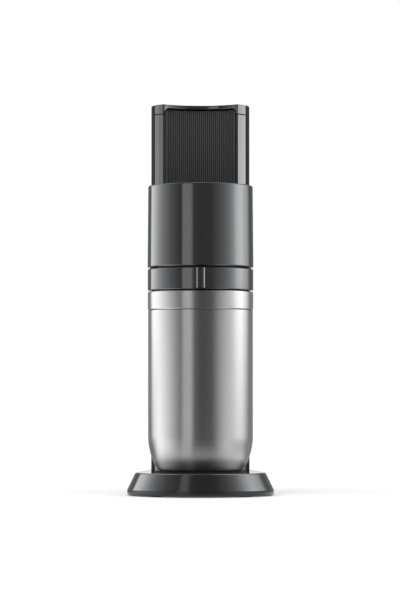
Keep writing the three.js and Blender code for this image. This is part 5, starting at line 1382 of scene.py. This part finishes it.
floor_corners = [(x * FLOOR_HALF, y * FLOOR_HALF, 0) for x, y in ((-1, -1), (1, -1), (1, 1), (-1, 1))]
floor = staged("floor", floor_corners, [(0, 1, 2, 3)])
pale_floor, shader, place = material(
    "pale_floor", Base_Color=(0.99, 0.99, 0.99, 1), Roughness=0.7, Specular_IOR_Level=0.1,
    Emission_Color=(1, 1, 1, 1),
)
tree = pale_floor.node_tree
sight = add_node(tree, "ShaderNodeLightPath").outputs["Is Camera Ray"]
tree.links.new(times(tree, sight, SHADOW_LIFT), shader.inputs["Emission Strength"])
floor.data.materials.append(pale_floor)

# Surroundings. A ring of tall soft panels and dark drapes stands round the table, out of the camera's
# sight. Only glossy surfaces see it.

RING_STEPS = 360
RING_R = 1.5
RING_TOP = 8.0
TABLE_R = 0.1
FAR_R = 0.22
TABLE_END = 1.1
TABLE_Z = 0.0002
PANEL_FOOT = 0.2
EYE_LEVEL = 0.5
# How bright the surroundings are, by the angle to the right of the camera in degrees: the table close by,
# the table further out, the foot of the ring, the ring at eye level, and the ring overhead.
surroundings = [
    (-180, 0.6, 1.0, 1.0, 0.9, 0.9), (-172, 0.6, 1.0, 1.0, 0.9, 0.9), (-164, 0.6, 0.3, 0.3, 0.25, 0.25),
    (-137.5, 0.6, 0.2, 0.3, 0.25, 0.25), (-132.5, 0.9, 0.1, 0.6, 2.7, 0.25), (-127, 0.8, 0.1, 1.1, 2.7, 0.3),
    (-123, 0.8, 0.1, 1.4, 2.6, 2.1), (-118, 0.8, 0.2, 1.5, 2.6, 2.1), (-102, 0.75, 1.6, 1.6, 1.6, 1.15),
    (-89, 0.75, 1.8, 1.3, 1.0, 0.65), (-67, 0.75, 1.3, 0.72, 0.42, 0.25), (-44, 0.7, 0.4, 0.24, 0.12, 0.12),
    (-40, 0.7, 0.4, 0.26, 0.12, 0.12), (-39, 0.7, 0.6, 0.5, 0.82, 0.45), (-27, 0.7, 0.6, 0.7, 0.82, 0.4),
    (-20, 0.65, 0.6, 0.85, 0.8, 0.1), (-15, 0.6, 0.12, 0.28, 0.14, 0.08), (0, 0.6, 0.05, 0.12, 0.12, 0.08),
    (25, 0.55, 0.1, 0.14, 0.14, 0.08), (34, 0.65, 0.35, 0.36, 0.28, 0.12), (43, 0.75, 0.65, 0.56, 0.38, 0.2),
    (53, 0.85, 0.9, 0.7, 0.55, 0.28), (63, 1.0, 0.8, 0.82, 0.85, 0.45), (74, 1.2, 0.5, 0.9, 1.4, 0.75),
    (85, 1.6, 0.25, 1.0, 2.7, 1.5), (98, 1.6, 0.3, 1.2, 3.2, 2.1), (112, 1.2, 0.2, 0.9, 2.1, 1.8),
    (122, 0.8, 0.2, 0.5, 1.5, 1.3), (130, 0.6, 0.3, 0.3, 0.5, 0.4), (136, 0.6, 0.3, 0.3, 0.25, 0.25),
    (164, 0.6, 0.3, 0.3, 0.25, 0.25), (172, 0.6, 1.0, 1.0, 0.9, 0.9), (180, 0.6, 1.0, 1.0, 0.9, 0.9),
]


def surrounding_levels(angle):
    """Brightness of the surroundings at an angle, between the two nearest entries."""
    for (start, *first), (end, *last) in zip(surroundings, surroundings[1:]):
        if start <= angle <= end:
            share = (angle - start) / (end - start)
            return [a + (b - a) * share for a, b in zip(first, last)]


points, faces, levels = [], [], []
for i in range(RING_STEPS):
    turn = 360 * i / RING_STEPS - 180
    angle = math.radians(turn)
    near, far, foot, eye, above = surrounding_levels(turn)
    rows = [
        (TABLE_R, TABLE_Z, near), (FAR_R, TABLE_Z, far), (TABLE_END, TABLE_Z, far), (RING_R, TABLE_Z, foot),
        (RING_R, PANEL_FOOT, foot), (RING_R, 1.5 * PANEL_FOOT, eye), (RING_R, EYE_LEVEL, eye),
        (RING_R, 2 * EYE_LEVEL, above), (RING_R, RING_TOP, above),
    ]
    points += [(r * math.sin(angle), bottle_y - r * math.cos(angle), z) for r, z, brightness in rows]
    levels += [brightness for r, z, brightness in rows]
    a, b = len(rows) * i, len(rows) * ((i + 1) % RING_STEPS)
    faces += [(a + k, a + k + 1, b + k + 1, b + k) for k in range(len(rows) - 1)]
surround = staged("studio_ring", points, faces)
level_layer = surround.data.attributes.new("level", "FLOAT", "POINT")
for entry, value in zip(level_layer.data, levels):
    entry.value = value
panels = bpy.data.materials.new("studio_panels")
panels.use_nodes = True
tree = panels.node_tree
tree.nodes.clear()
reader = add_node(tree, "ShaderNodeAttribute", attribute_name="level")
glow = add_node(tree, "ShaderNodeEmission", (reader.outputs["Fac"], "Strength"))
add_node(tree, "ShaderNodeOutputMaterial", (glow.outputs[0], "Surface"))
surround.data.materials.append(panels)
surround.visible_camera = False
surround.visible_diffuse = False
surround.visible_shadow = False

# Light. A white room lights everything evenly, and one large soft lamp above to the left gives it a
# direction.

LAMP_SIZE = 1.6
LAMP_POWER = 6
LAMP_PLACE = (-0.9, -1.0, 1.9)
world = bpy.data.worlds.new("white_room")
scene.world = world
world.use_nodes = True
background = world.node_tree.nodes["Background"]
background.inputs["Color"].default_value = (1, 1, 1, 1)
background.inputs["Strength"].default_value = 1.0

lamp_data = bpy.data.lights.new("soft_lamp", "AREA")
lamp_data.shape = "SQUARE"
lamp_data.size = LAMP_SIZE
lamp_data.energy = LAMP_POWER
lamp = placed("soft_lamp", lamp_data)
lamp.location = LAMP_PLACE
lamp.rotation_euler = (middle("head_shell") - lamp.location).to_track_quat("-Z", "Y").to_euler()
lamp.visible_camera = False
lamp.visible_glossy = False

low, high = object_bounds()
